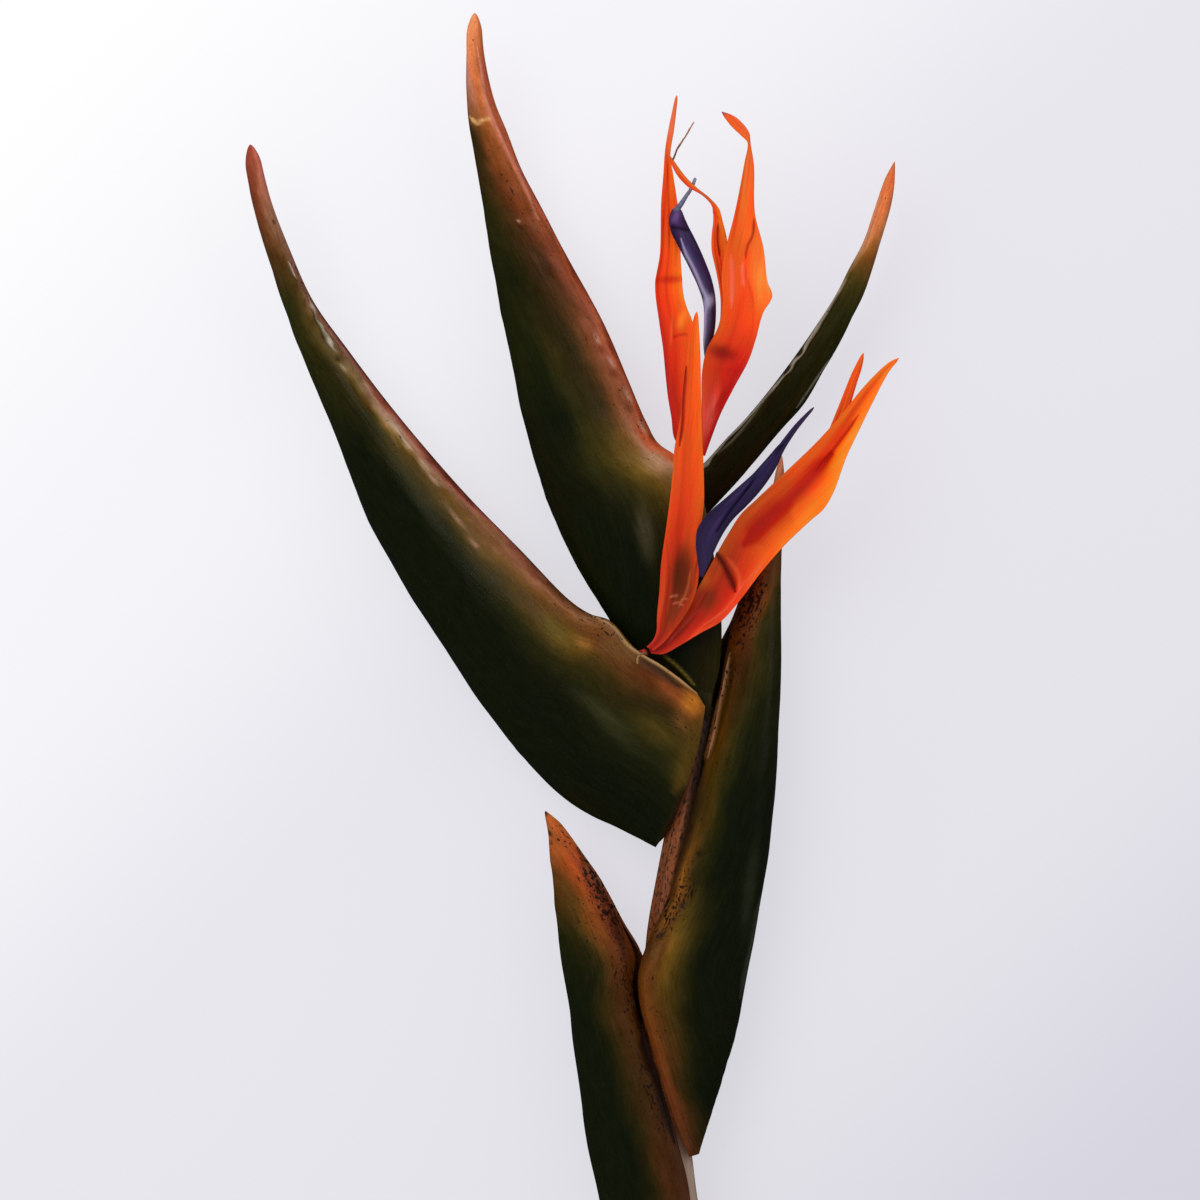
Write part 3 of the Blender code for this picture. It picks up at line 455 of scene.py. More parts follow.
UPPER_RIGHT_BRACT = {
    "seed": 505,
    "skin": (0.27, 0.15, (8, 7, 3)),
    "keel": [
        (31.2, 112.6), (34, 115), (38, 119.4), (44.8, 126.8), (53, 136.6), (58.6, 143.2), (64.2, 152.6),
        (69.5, 163), (72.8, 169.8), (77, 182.5), (79.9, 193.4), (81.2, 202.6),
    ],
    "rim": [
        (30, 124.6), (33.9, 128.4), (38, 133), (43.9, 139.2), (53, 150.5), (60.4, 160.9), (66, 169.5),
        (69, 175.6), (72.9, 183), (75.4, 190.4), (77.7, 197.2), (80, 203),
    ],
    "middle": [(0, 12.8), (0.3, 13), (1, 15.5)],
    "half": [(0, 1.9), (0.2, 2.9), (0.5, 3.2), (0.8, 2), (1, 0.9)],
    "gape": [(0, 0.3), (1, 0.3)],
    "wall": [(0, 0.5), (0.8, 0.6), (1, 0.35)],
    # the pale stop a quarter of a millimetre in from the rim is a painted highlight along the rim's edge
    "zones": [
        (0, (0, 30, 20, 10), (0.25, 300, 280, 230), (0.7, 200, 180, 140), (1, 6, 5, 2), (1.6, 24, 20, 10),
         (3.5, 10, 9, 1), (9, 9, 7, 1)),
        (0.3, (0, 20, 15, 10), (0.25, 340, 320, 260), (0.7, 140, 120, 90), (1, 4, 4, 1), (1.6, 16, 14, 5),
         (3, 9, 9, 1), (8, 10, 9, 1)),
        (0.6, (0, 30, 25, 15), (0.25, 400, 360, 280), (0.7, 120, 100, 60), (1, 8, 6, 2), (1.8, 24, 21, 4),
         (6, 20, 19, 2)),
        (0.68, (0, 140, 90, 40), (1.5, 70, 50, 12), (4, 50, 36, 6)),
        (0.75, (0, 420, 200, 110), (1.2, 370, 170, 70), (2.2, 250, 80, 15), (4, 170, 65, 15)),
        (0.85, (0, 580, 180, 80), (1.2, 700, 170, 50), (2.2, 780, 220, 70), (4, 500, 170, 60)),
        (1, (0, 600, 140, 40), (1.2, 840, 150, 50), (2.6, 700, 120, 30)),
    ],
    "crests": [(0.05, 0.9, 1.7, 0.6, 0.22, 0.04, 9), (0.05, 0.85, 0.8, 0.3, -0.16, 0.02, 9)],
    "patches": [],
    "lines": [
        # painted highlights: thin pale lines along the keel side and along the rim
        ([(56, 141.2), (60.6, 147.6), (65, 154.2)], 0.22, (240, 230, 190), 0.6, 0.1),
        ([(36.4, 129.6), (40.8, 133.8), (44.2, 138), (50.4, 146.6)], 0.3, (130, 120, 90), 0.7, 0.1),
        ([(58, 156.4), (62.4, 163.2), (65.4, 168.2), (68.4, 173.4)], 0.35, (220, 190, 150), 0.8, 0.1),
    ],
    "specks": [(66, 165, 20, 4, 55, 0.3)],
}
LOWER_FRONT_SEPAL = {
    "left": [
        (18.6, 81.6), (20, 83), (21, 85.2), (21.2, 89.5), (21.8, 95.8), (22.2, 102), (23.2, 109.5),
        (24.2, 117), (25, 124.5), (25.5, 130.8), (26.5, 135.8), (27.5, 142), (28.2, 149.5), (29, 158.2),
        (30.7, 164.8),
    ],
    "right": [
        (20.4, 80.6), (23.2, 83), (27, 87.8), (29.5, 92), (31.2, 97), (31.5, 102), (31.2, 107), (32, 111.2),
        (32.8, 117), (32.8, 123.2), (32.5, 130.8), (32.2, 138.2), (32, 145.8), (31.8, 155.8), (31.3, 164.8),
    ],
    "lift": [(0, 22.4), (0.12, 23.4), (0.3, 25.6), (0.5, 28.4), (0.75, 31.2), (1, 33)],
    "fold": [(0, 0.2), (0.2, 1.4), (0.4, 0.6), (0.6, 0.8), (0.9, 0.5), (1, 0.1)],
    "zones": [
        (0, (0, 500, 30, 20), (0.5, 300, 12, 8), (1, 550, 40, 20)),
        (0.12, (0, 640, 70, 20), (0.25, 480, 30, 6), (0.5, 240, 28, 5), (1, 460, 40, 7)),
        (0.35, (0, 750, 70, 12), (0.4, 620, 35, 4), (1, 740, 100, 10)),
        (0.55, (0, 780, 110, 20), (0.4, 740, 75, 8), (0.6, 800, 85, 6), (1, 800, 130, 10)),
        (0.8, (0, 780, 80, 10), (0.5, *FLAME), (1, 850, 150, 12)),
        (1, (0, *FLAME), (1, *AMBER)),
    ],
    "patches": [
        (27.4, 97.4, 8.5, 2.8, 84, (150, 25, 5), 0.95, -0.35),
        (27.2, 99.6, 6.5, 2.2, 84, (120, 18, 3), 0.9, 0),
        (26, 91, 3.4, 1.8, 60, (200, 30, 8), 0.8, 0),
    ],
    "lines": [
        # painted glints: short pale strokes low on the sepal
        ([(24.4, 93.9), (25.2, 94.3), (26.4, 94.1)], 0.22, (700, 300, 160), 0.55, 0.12),
        ([(27, 93.2), (28.2, 93.5), (29.2, 93.4)], 0.2, (660, 220, 100), 0.5, 0.12),
        ([(24.8, 92.2), (26.6, 92.6), (28, 91.6)], 0.25, (620, 160, 80), 0.6, 0.1),
        ([(29.6, 101), (28.6, 95.6), (26.6, 91.4)], 0.3, (550, 120, 40), 0.5, 0.15),
        ([(28.5, 151), (28, 144.3), (27.5, 136), (26.8, 131.6)], 0.4, (300, 12, 3), 0.95, -0.5),
        ([(31.2, 103), (30, 96), (27, 90), (23.4, 84.6)], 0.35, (400, 30, 8), 0.8, -0.3),
        ([(23.6, 108), (24.4, 98), (23.4, 88)], 0.3, (450, 40, 8), 0.5, -0.15),
    ],
}
LOWER_RIGHT_SEPAL = {
    "left": [
        (19.2, 81), (21.4, 82.6), (24, 85.2), (27.5, 90.2), (30.8, 95.2), (33.2, 99.5), (36, 104.6),
        (38.8, 109.5), (42, 114.5), (45.8, 118.2), (53.2, 125.2), (60.8, 132.5), (66.5, 138.8),
        (72.5, 146.2), (78.2, 151.8), (80.9, 153.4),
    ],
    "right": [
        (19.8, 79.9), (22.8, 79.8), (27, 82), (32, 85), (37, 87.8), (40.8, 91.8), (47, 100), (52.5, 106.5),
        (59.5, 113.2), (62.5, 115.8), (65, 120), (68.2, 128.8), (71.2, 135.2), (74.5, 142), (78.6, 149.8),
        (81.28, 153.1),
    ],
    "lift": [(0, 20.9), (0.2, 21.6), (0.4, 22.6), (0.6, 25.4), (0.8, 29.5), (1, 34)],
    "fold": [(0, 0.1), (0.15, 0.3), (0.35, 1.9), (0.6, 2.4), (0.85, 1.2), (1, 0.1)],
    "zones": [
        (0, (0, 400, 15, 10), (0.5, 320, 9, 5), (1, 500, 30, 15)),
        (0.1, (0, 500, 30, 8), (0.5, 400, 16, 4), (0.85, 620, 35, 10), (1, 740, 80, 30)),
        (0.28, (0, 620, 90, 8), (0.4, 480, 35, 4), (0.75, 660, 28, 5), (1, 820, 80, 25)),
        (0.45, (0, 850, 150, 12), (0.35, 800, 60, 6), (0.7, 880, 140, 12), (1, *AMBER)),
        (0.7, (0, 900, 160, 12), (0.4, 800, 50, 5), (0.7, 920, 190, 15), (1, 920, 300, 30)),
        (1, (0, *AMBER), (0.5, 900, 170, 15), (1, 850, 200, 30)),
    ],
    "patches": [
        (34.2, 93.4, 3.4, 2.1, 80, (250, 28, 4), 0.9, -0.3),
        (33, 98.2, 2.2, 1.4, 60, (760, 160, 12), 0.7, 0),
    ],
    "lines": [
        # painted shade in the deep fold along the middle
        ([(71.2, 139.2), (67.8, 134.4), (63.6, 128.6), (60, 123.6)], 0.4, (420, 10, 3), 0.9, -0.4),
        ([(64.4, 129.4), (58.6, 122.6), (52, 115.8), (46, 110.6), (43, 107)], 1.9, (500, 13, 3), 0.9, -0.7),
        ([(54, 116.8), (48, 111.2), (44.4, 107.6)], 3, (520, 16, 3), 0.7, -0.2),
        # painted shadow: dark red shade where the tongue comes out of the fold
        ([(35.8, 105.2), (38, 101.8), (39.6, 98.4), (40.6, 95.4)], 0.75, (100, 3, 2), 0.97, -0.8),
        # painted highlight on the curve beside that fold
        ([(38.6, 103.8), (41.4, 99.8), (41.8, 95)], 0.6, (920, 130, 50), 0.6, 0.3),
        ([(33, 87), (38.6, 91.2), (43, 97.4), (48.4, 103.4)], 0.35, (860, 140, 80), 0.45, 0.12),
        ([(24, 82.6), (28, 86.8), (31.6, 91)], 0.3, (800, 120, 70), 0.4, 0.15),
        ([(25, 83.4), (30, 88.8), (33.6, 95)], 0.4, (200, 8, 4), 0.6, -0.25),
    ],
}
LOWER_REAR_SEPAL = {
    "left": [
        (20.4, 81.2), (28, 87), (36, 95), (44, 105.5), (52, 116), (58.5, 126), (63.2, 134), (65.8, 140.2),
        (67.5, 144.5), (69.5, 149.5), (72.2, 154.8),
    ],
    "right": [
        (21.4, 80.2), (30, 84.8), (39, 93), (48, 103.5), (56.5, 114.5), (63, 124.5), (67, 134),
        (69.2, 141.5), (70.8, 147), (72, 150.8), (72.7, 154.5),
    ],
    "lift": [(0, 19.2), (0.2, 19.8), (0.5, 21), (0.7, 23.4), (0.85, 26.2), (1, 29)],
    "fold": [(0, 0.1), (0.3, 0.5), (0.7, 0.6), (1, 0.1)],
    "zones": [
        (0, (0, *SCARLET), (1, *SCARLET)),
        (0.6, (0, 800, 160, 60), (1, 620, 30, 10)),
        (1, (0, *FLAME), (0.6, 880, 160, 20), (1, 600, 50, 10)),
    ],
    "patches": [],
    "lines": [],
}
UPPER_LEFT_SEPAL = {
    "left": [
        (27.8, 130.4), (25.5, 133.6), (24.8, 138.8), (24, 143.8), (22.8, 155.8), (21.8, 162), (20.6, 171.5),
        (21.8, 179.5), (22.2, 192), (22.8, 199.5), (23.2, 205.2), (24, 210.2), (25.8, 218.8),
    ],
    "right": [
        (30.5, 130.4), (31.2, 135.8), (31.2, 143.2), (31, 150.8), (31, 157), (30.2, 162), (28, 168.2),
        (27.2, 176.2), (26.5, 189.5), (25.2, 198.8), (24.5, 203.8), (25.5, 210.8), (26.4, 218.8),
    ],
    "lift": [(0, 17.6), (0.2, 20.8), (0.45, 23.6), (0.7, 24.6), (1, 26.5)],
    "fold": [(0, 0.2), (0.3, 1.4), (0.6, 0.8), (0.85, 0.2), (1, 0.1)],
    "zones": [
        (0, (0, 500, 20, 15), (1, 700, 80, 10)),
        (0.25, (0, 520, 20, 20), (0.3, 800, 50, 12), (1, 820, 120, 12)),
        (0.45, (0, 800, 50, 10), (0.4, 900, 70, 8), (0.7, 880, 120, 12), (1, *AMBER)),
        (0.6, (0, 820, 70, 8), (0.5, *FLAME), (1, 860, 150, 10)),
        (0.8, (0, 840, 100, 10), (0.4, 780, 60, 4), (1, 880, 170, 15)),
        (0.9, (0, 800, 200, 80), (1, 840, 190, 70)),
        (1, (0, 800, 220, 100), (1, 700, 120, 30)),
    ],
    "patches": [
        (24.3, 172.9, 3.6, 1, 4, (620, 28, 3), 0.85, -0.35),
        (27.6, 163, 2.4, 1.2, 70, (950, 270, 35), 0.85, 0.35),
        # painted highlight: a coral-pink stripe
        (24.8, 161, 4, 0.35, 86, (920, 170, 60), 0.6, 0.1),
    ],
    "lines": [
        # painted shade under the edge of the pale flap
        ([(25.4, 158.7), (27.4, 159.3), (29.2, 159.2)], 0.3, (550, 30, 5), 0.85, -0.25),
        ([(24.2, 204), (23.6, 196), (22.6, 184)], 0.3, (700, 40, 4), 0.5, -0.1),
    ],
}
UPPER_RIGHT_SEPAL = {
    "left": [
        (32.2, 129.4), (32.4, 135.8), (32.4, 143.2), (32.5, 150.2), (33.5, 155.2), (36.4, 161.2),
        (37.5, 167), (37.2, 173.2), (37.8, 178.8), (40, 187.8), (41.2, 193.2), (43, 202.5), (43.75, 206.6),
        (42, 208.5), (39.4, 211), (37, 214.2),
    ],
    "right": [
        (33.2, 129.2), (34.6, 133.2), (37, 139.5), (40.2, 145.8), (44, 152.8), (45.8, 158.2), (47.5, 164.5),
        (49.8, 168.8), (48.6, 172.4), (47.6, 180.8), (45.5, 189.5), (45.2, 201.2), (44.3, 206.8),
        (44, 209.3), (40.9, 212.9), (37.3, 214.6),
    ],
    "lift": [(0, 18.4), (0.2, 22), (0.35, 25), (0.6, 26.8), (0.8, 29), (0.9, 31), (1, 32)],
    "fold": [(0, 0.1), (0.3, 1.4), (0.5, 1.8), (0.7, 0.8), (0.85, 0.3), (1, 0.1)],
    "zones": [
        (0, (0, 620, 30, 20), (1, 450, 12, 10)),
        (0.12, (0, 850, 120, 80), (0.5, 800, 60, 30), (1, 450, 10, 8)),
        (0.25, (0, 800, 90, 15), (0.5, 660, 28, 8), (0.85, 500, 12, 8), (1, 550, 30, 30)),
        (0.38, (0, 820, 120, 12), (0.4, 880, 70, 10), (1, 850, 90, 12)),
        (0.5, (0, 860, 130, 15), (0.5, 950, 100, 22), (0.8, 920, 180, 30), (1, 950, 280, 50)),
        (0.7, (0, 820, 100, 12), (0.4, 920, 200, 30), (1, 900, 120, 20)),
        (0.84, (0, 860, 170, 30), (0.5, 920, 190, 50), (1, 860, 140, 30)),
        (1, (0, 860, 120, 12), (1, 800, 140, 50)),
    ],
    "patches": [
        # painted shadow: a dark red patch of shade
        (37.6, 154.6, 3.6, 1.9, -15, (320, 10, 2), 0.92, -0.5),
        # painted highlight: a coral-red streak low on the sepal
        (34.6, 139.8, 5.5, 1.1, 75, (920, 150, 110), 0.8, 0.2),
        (37.4, 143, 5, 0.9, 60, (480, 10, 8), 0.8, -0.3),
        (46.8, 172, 5, 1.6, 95, (950, 280, 45), 0.7, 0.1),
        (37.1, 214.2, 1.1, 0.9, 0, (260, 50, 200), 0.9, 0),
    ],
    "lines": [
        ([(45.3, 188), (45, 184), (43.7, 181.2), (43.1, 177.8)], 0.32, (420, 18, 6), 0.9, -0.4),
        ([(43.1, 177.8), (43.2, 174), (45, 168), (44.2, 156.8), (41.9, 152.5)], 0.25, (720, 50, 8), 0.7,
         -0.15),
        # painted highlights: coral-pink streaks
        ([(39.5, 179), (39.8, 172), (39.6, 166)], 0.5, (950, 200, 130), 0.75, 0.12),
        ([(42.4, 177), (42.7, 171)], 0.35, (950, 220, 140), 0.7, 0.1),
        ([(44.6, 147.6), (42, 143.4), (40, 139.8)], 0.3, (850, 300, 280), 0.5, 0.1),
    ],
}
UPPER_BENT_SEPAL = {
    "left": [
        (31.6, 131.6), (33.5, 143.2), (35.5, 155.8), (36.8, 162), (37, 168.2), (36, 174.5), (34.8, 180.2),
        (34.8, 184), (35.2, 187.8), (34.8, 191.2), (32.5, 193.8), (29.5, 195.5), (26.4, 198.4),
        (23.6, 203.8),
    ],
    "right": [
        (32.6, 131.4), (35, 143.2), (37.5, 155.8), (38.5, 162), (39, 168.2), (39, 174.5), (38.8, 179.5),
        (38.5, 183.2), (37.5, 187.2), (36.5, 190.5), (34.2, 193), (31.5, 195.2), (28.2, 198.4), (24.2, 204),
    ],
    "lift": [(0, 16.6), (0.25, 20), (0.45, 22.6), (0.62, 24.6), (0.72, 26.6), (0.85, 29.6), (1, 29.4)],
    "fold": [(0, 0.1), (0.4, 0.5), (0.75, 0.5), (1, 0.1)],
    "zones": [
        (0, (0, *SCARLET), (1, *SCARLET)),
        (0.5, (0, 880, 140, 20), (0.5, 620, 40, 8), (1, 860, 160, 12)),
        (0.75, (0, 840, 90, 40), (0.5, 880, 140, 15), (1, 880, 200, 20)),
        (0.9, (0, 800, 70, 30), (0.5, 860, 120, 15), (0.9, 840, 180, 20), (1, 250, 100, 20)),
        (1, (0, 840, 100, 30), (1, 700, 120, 20)),
    ],
    "patches": [],
    "lines": [
        ([(36.3, 186.8), (36.3, 182.4), (36.9, 178.6)], 0.32, (300, 12, 4), 0.9, -0.35),
        ([(36.6, 188), (33.6, 191.4), (29.6, 195.2), (26.4, 199)], 0.28, (620, 50, 10), 0.6, -0.15),
    ],
}
LOWER_TONGUE = {
    "left": [
        (31.8, 99), (31.2, 103.2), (30.8, 107), (31.2, 110.8), (32.8, 113.5), (35, 115.8), (38.2, 118.5),
        (42, 121.8), (45.8, 125.2), (49.5, 129.2), (53.2, 134), (55.8, 137.2), (59.9, 141.2),
    ],
    "right": [
        (32.6, 99), (33.8, 101.8), (35.2, 105), (36.5, 107.8), (38, 110.5), (40.2, 113.5), (43.2, 116.5),
        (46, 119.5), (48.5, 122.8), (50.8, 126.5), (52.5, 130.2), (55.4, 134.8), (60.3, 141),
    ],
    "lift": [(0, 29.6), (0.2, 30), (0.5, 30.2), (0.8, 31.2), (1, 32.6)],
    "fold": [(0, 0.1), (0.25, 1), (0.6, 1.1), (1, 0.1)],
    "zones": [
        (0, (0, 22, 14, 50), (1, 30, 22, 70)),
        (0.3, (0, 20, 13, 45), (0.5, 30, 20, 75), (1, 14, 9, 30)),
        (0.7, (0, 28, 20, 80), (0.6, 22, 14, 55), (1, 15, 9, 35)),
        (1, (0, 30, 18, 60), (1, 40, 22, 50)),
    ],
    "patches": [],
    "lines": [
        ([(54, 133.6), (46, 124.7), (42.7, 119.7), (39.4, 115.2), (36, 110)], 0.42, (4, 3, 14), 0.9, -0.45),
        ([(52, 131.5), (44, 122.6), (38, 117)], 0.3, (55, 45, 140), 0.5, 0.1),
    ],
}
UPPER_TONGUE = {
    "left": [
        (33.2, 152.8), (32.8, 157), (33, 162), (32.8, 167), (31.5, 171.2), (29.5, 175.5), (27.8, 178.8),
        (26.2, 181.8), (24.8, 184.5), (24.2, 187.5), (24.8, 190), (26, 191.4),
    ],
    "right": [
        (34.2, 152.8), (35, 157.5), (35.6, 161.2), (35.8, 165.2), (35.6, 169), (34.7, 173.2), (33.3, 177),
        (31.8, 180.5), (30.2, 183.8), (28.8, 186.5), (27.8, 188.8), (27.1, 190.8),
    ],
    "lift": [(0, 21.6), (0.2, 22.8), (0.5, 25), (0.75, 27), (1, 28.2)],
    "fold": [(0, -0.1), (0.3, -0.8), (0.7, -0.8), (1, -0.2)],
    # the paler bluish band along the middle is painted sheen
    "zones": [
        (0, (0, 70, 70, 90), (0.4, 50, 45, 80), (0.6, 30, 10, 20), (1, 35, 6, 12)),
        (0.25, (0, 80, 80, 130), (0.35, 80, 80, 140), (0.6, 30, 18, 50), (1, 25, 6, 20)),
        (0.5, (0, 25, 12, 50), (0.35, 55, 45, 110), (0.7, 30, 20, 65), (1, 20, 10, 40)),
        (0.7, (0, 20, 8, 40), (0.4, 50, 35, 100), (0.75, 26, 15, 55), (1, 20, 8, 40)),
        (0.82, (0, 16, 6, 30), (0.5, 60, 40, 110), (1, 20, 8, 38)),
        (0.9, (0, 28, 10, 40), (0.4, 60, 30, 110), (1, 20, 8, 30)),
        (1, (0, 50, 20, 80), (0.5, 110, 80, 190), (1, 40, 20, 60)),
    ],
    "patches": [
        # painted highlights on the head and on the body
        (25.8, 188.4, 1.6, 0.8, 60, (120, 80, 200), 0.7, 0.1),
        (34, 167.6, 1.6, 1, 70, (380, 380, 500), 0.7, 0.1),
    ],
    "lines": [
        # painted sheen: the pale streak down the middle
        ([(27.2, 183.2), (28.6, 179.5), (30.3, 176.4), (32.6, 171.2), (33.9, 167.9), (33.5, 164.1),
         (33.2, 159.6), (33, 155.5)], 0.42, (340, 340, 480), 0.85, 0.14),
        ([(28.6, 181.6), (30, 178.4), (31, 176)], 0.22, (60, 60, 160), 0.8, -0.1),
        ([(24.4, 186), (27, 185.6), (29, 185)], 0.6, (10, 4, 16), 0.85, -0.15),
        ([(35.5, 166), (35.6, 160.6), (34.6, 157.2)], 0.7, (45, 5, 16), 0.85, 0),
    ],
}

# A rod's skin: (roughness, width of its streaks, their depth).
ROD_SKINS = {
    "stem_skin": (0.48, 1.1, 0.16),
    "flower_stalk_skin": (0.38, 0.5, 0.2),
    "style_skin": (0.4, 0.5, 0.15),
    "dried_tip_skin": (0.6, 0.3, 0.25),
}
# The thin rods, with a middle line of (x, y, z, radius) and a colour for the base and for the tip. "uneven"
# is for the colour, "rise" for the radius, and "around" is the number of points round the rod.
RODS = {
    "lower_flower_stalk": {
        "slot": "flower_stalk",
        "skin": "flower_stalk_skin",
        "line": [(8, 72, 14.2, 1.2), (13, 76.2, 16.8, 1.3), (16.4, 78.9, 18.6, 1.3), (18.4, 80.2, 19.4, 1)],
        "colours": ((300, 50, 12), (420, 30, 14)),
        "uneven": 0.2,
        "rise": 0.1,
        "around": 28,
        "blunt": 0.5,
        "seed": 21,
    },
    "upper_flower_stalk": {
        "slot": "flower_stalk",
        "skin": "flower_stalk_skin",
        "line": [
            (22, 117, 12.6, 1.2), (25.5, 124.4, 12.9, 1.3), (28, 129, 14.8, 1.2), (29, 131, 15.8, 0.9),
        ],
        "colours": ((250, 60, 20), (600, 100, 30)),
        "uneven": 0.2,
        "rise": 0.08,
        "around": 28,
        "blunt": 0.5,
        "seed": 23,
    },
    "upper_flower_style": {
        "slot": "tongue",
        "skin": "style_skin",
        "line": [
            (26, 190.2, 27.9, 0.8), (27.3, 191.9, 28.2, 0.6), (28.4, 193.6, 28.2, 0.5),
            (29.7, 195.6, 28, 0.45), (30.6, 197.8, 28.6, 0.4),
        ],
        "colours": ((100, 100, 180), (220, 230, 300)),
        "uneven": 0.2,
        "rise": 0.05,
        "around": 20,
        "blunt": 0,
        "seed": 25,
    },
    "upper_flower_filament": {
        "slot": "dried_tip",
        "skin": "dried_tip_skin",
        "line": [
            (25.2, 202.7, 30.6, 0.24), (26.2, 205.2, 31.2, 0.22), (27.5, 207.2, 31.6, 0.2),
            (30.3, 211.8, 31, 0.13),
        ],
        "colours": ((160, 50, 30), (460, 170, 90)),
        "uneven": 0.25,
        "rise": 0.05,
        "around": 14,
        "blunt": 0,
        "seed": 27,
    },
    "lower_flower_tendril": {
        "slot": "dried_tip",
        "skin": "dried_tip_skin",
        "line": [
            (18.4, 80, 24, 0.26), (17.2, 79.8, 24.8, 0.25), (16.4, 78.9, 25.1, 0.23),
            (16.3, 77.6, 24.9, 0.2),
        ],
        "colours": ((180, 70, 20), (340, 200, 70)),
        "uneven": 0.3,
        "rise": 0.06,
        "around": 14,
        "blunt": 0,
        "seed": 29,
    },
}

BRACTS = {
    "lower_left": LOWER_LEFT_BRACT,
    "lower_right": LOWER_RIGHT_BRACT,
    "middle_left": MIDDLE_LEFT_BRACT,
    "upper_left": UPPER_LEFT_BRACT,
    "upper_right": UPPER_RIGHT_BRACT,
}
SEPALS = {
    "lower_flower_front_sepal": LOWER_FRONT_SEPAL,
    "lower_flower_right_sepal": LOWER_RIGHT_SEPAL,
    "lower_flower_rear_sepal": LOWER_REAR_SEPAL,
    "upper_flower_left_sepal": UPPER_LEFT_SEPAL,
    "upper_flower_right_sepal": UPPER_RIGHT_SEPAL,
    "upper_flower_bent_sepal": UPPER_BENT_SEPAL,
}
TONGUES = {"lower_flower_tongue": LOWER_TONGUE, "upper_flower_tongue": UPPER_TONGUE}


def linear(colour):
    """Colours from the tables as linear RGB."""
    return np.array(colour) / COLOUR_SCALE


def hermite(knots, values, wanted):
    """A smooth curve through `values` at `knots`, read at `wanted`."""
    slopes = np.gradient(values, knots, axis=0)
    low = np.clip(np.searchsorted(knots, wanted, side="right") - 1, 0, len(knots) - 2)
    width = knots[low + 1] - knots[low]
    t = (wanted - knots[low]) / width
    shape = (-1,) + (1,) * (values.ndim - 1)
    t = t.reshape(shape)
    width = width.reshape(shape)
    return (
        (2 * t**3 - 3 * t**2 + 1) * values[low]
        + (t**3 - 2 * t**2 + t) * width * slopes[low]
        + (3 * t**2 - 2 * t**3) * values[low + 1]
        + (t**3 - t**2) * width * slopes[low + 1]
    )


def steps_of(line):
    """The lengths of a line's steps, seen from above."""
    return np.linalg.norm(np.diff(line[:, :2], axis=0), axis=1)


def along_edge(points, places):
    """Points at the shares `places` of the length of a smooth curve through `points`."""
    points = np.array(points, dtype=float)
    knots = np.concatenate([[0.0], np.cumsum(np.sqrt(steps_of(points)))])
    fine = hermite(knots, points, np.linspace(0.0, knots[-1], SAMPLES_PER_POINT * len(points)))
    lengths = np.concatenate([[0.0], np.cumsum(steps_of(fine))])
    return np.column_stack([np.interp(places * lengths[-1], lengths, column) for column in fine.T])


def length_of(points):
    return steps_of(along_edge(points, np.linspace(0.0, 1.0, 200))).sum()


def profile(table, places):
    knots, values = np.array(table, dtype=float).T
    if len(knots) == 2:
        return np.interp(places, knots, values)
    return hermite(knots, values, places)


def smooth(t):
    t = np.clip(t, 0.0, 1.0)
    return t * t * (3 - 2 * t)


def window(t, start, end, soft):
    """1 between `start` and `end`, falling to 0 over `soft` inside each."""
    return smooth((t - start) / soft) * smooth((end - t) / soft)


def unit(vectors):
    return vectors / np.maximum(np.linalg.norm(vectors, axis=-1, keepdims=True), TINY)


def tip_places(steps, round_share):
    """Shares of a piece's length, crowded over the last `round_share`, and how each section shrinks there."""
    tip_steps = steps // 10
    body = np.linspace(0.0, 1.0 - round_share, steps - tip_steps, endpoint=False)
    turn = np.linspace(0.0, 0.5 * math.pi, tip_steps)
    places = np.concatenate([body, 1.0 - round_share + round_share * np.sin(turn)])
    near = np.clip((places - 1.0 + round_share) / round_share, 0.0, 1.0)
    return places, np.maximum(np.maximum(1.0 - near**1.6, 0.0) ** 0.6, SMALLEST)


def waves(x, y, seed, longest, shortest, count=14):
    """A smooth seeded unevenness, about -1 to 1."""
    random = np.random.default_rng(seed)
    total = np.zeros_like(x)
    for _ in range(count):
        turn = random.uniform(0.0, 2 * math.pi)
        length = shortest * (longest / shortest) ** random.uniform()
        run = 2 * math.pi * (x * math.cos(turn) + y * math.sin(turn)) / length
        total += np.sin(run + random.uniform(0.0, 6.3))
    return total / math.sqrt(count)


def stem_clearance(points, extra):
    """Half the height that the stem plus `extra` takes up over each point, and the stem's height there."""
    line = along_edge(STEM, np.linspace(0.0, 1.0, STEM_SAMPLES))
    distance = np.linalg.norm(points[:, None, :] - line[None, :, :2], axis=2)
    nearest = distance.argmin(axis=1)
    near = distance[np.arange(len(points)), nearest]
    reach = line[nearest, 3] + extra
    return np.sqrt(np.maximum(reach**2 - near**2, 0.0)), line[nearest, 2]


def near_oval(x, y, oval):
    """1 in the middle of an oval, falling softly to 0 at its edge."""
    middle_x, middle_y, half_length, half_width, degrees = oval
    turn = math.radians(degrees)
    along = ((x - middle_x) * math.cos(turn) + (y - middle_y) * math.sin(turn)) / half_length
    across = ((y - middle_y) * math.cos(turn) - (x - middle_x) * math.sin(turn)) / half_width
    return np.exp(-((along**2 + across**2) ** 1.3))


def near_line(x, y, points, half_width):
    """1 on a smooth line through `points`, falling to 0 away from it and thinner towards its ends."""
    line = along_edge(points, np.linspace(0.0, 1.0, 8 * len(points)))
    closest = np.full(x.shape, np.inf)
    place = np.zeros(x.shape)
    for i in range(len(line) - 1):
        start = line[i]
        step = line[i + 1] - start
        share = np.clip(((x - start[0]) * step[0] + (y - start[1]) * step[1]) / (step @ step), 0.0, 1.0)
        distance = np.hypot(x - start[0] - share * step[0], y - start[1] - share * step[1])
        place = np.where(distance < closest, (i + share) / (len(line) - 1), place)
        closest = np.minimum(distance, closest)
    taper = 0.35 + 0.65 * smooth(6 * place) * smooth(6 * (1 - place))
    return np.exp(-((closest / (half_width * taper)) ** 2))


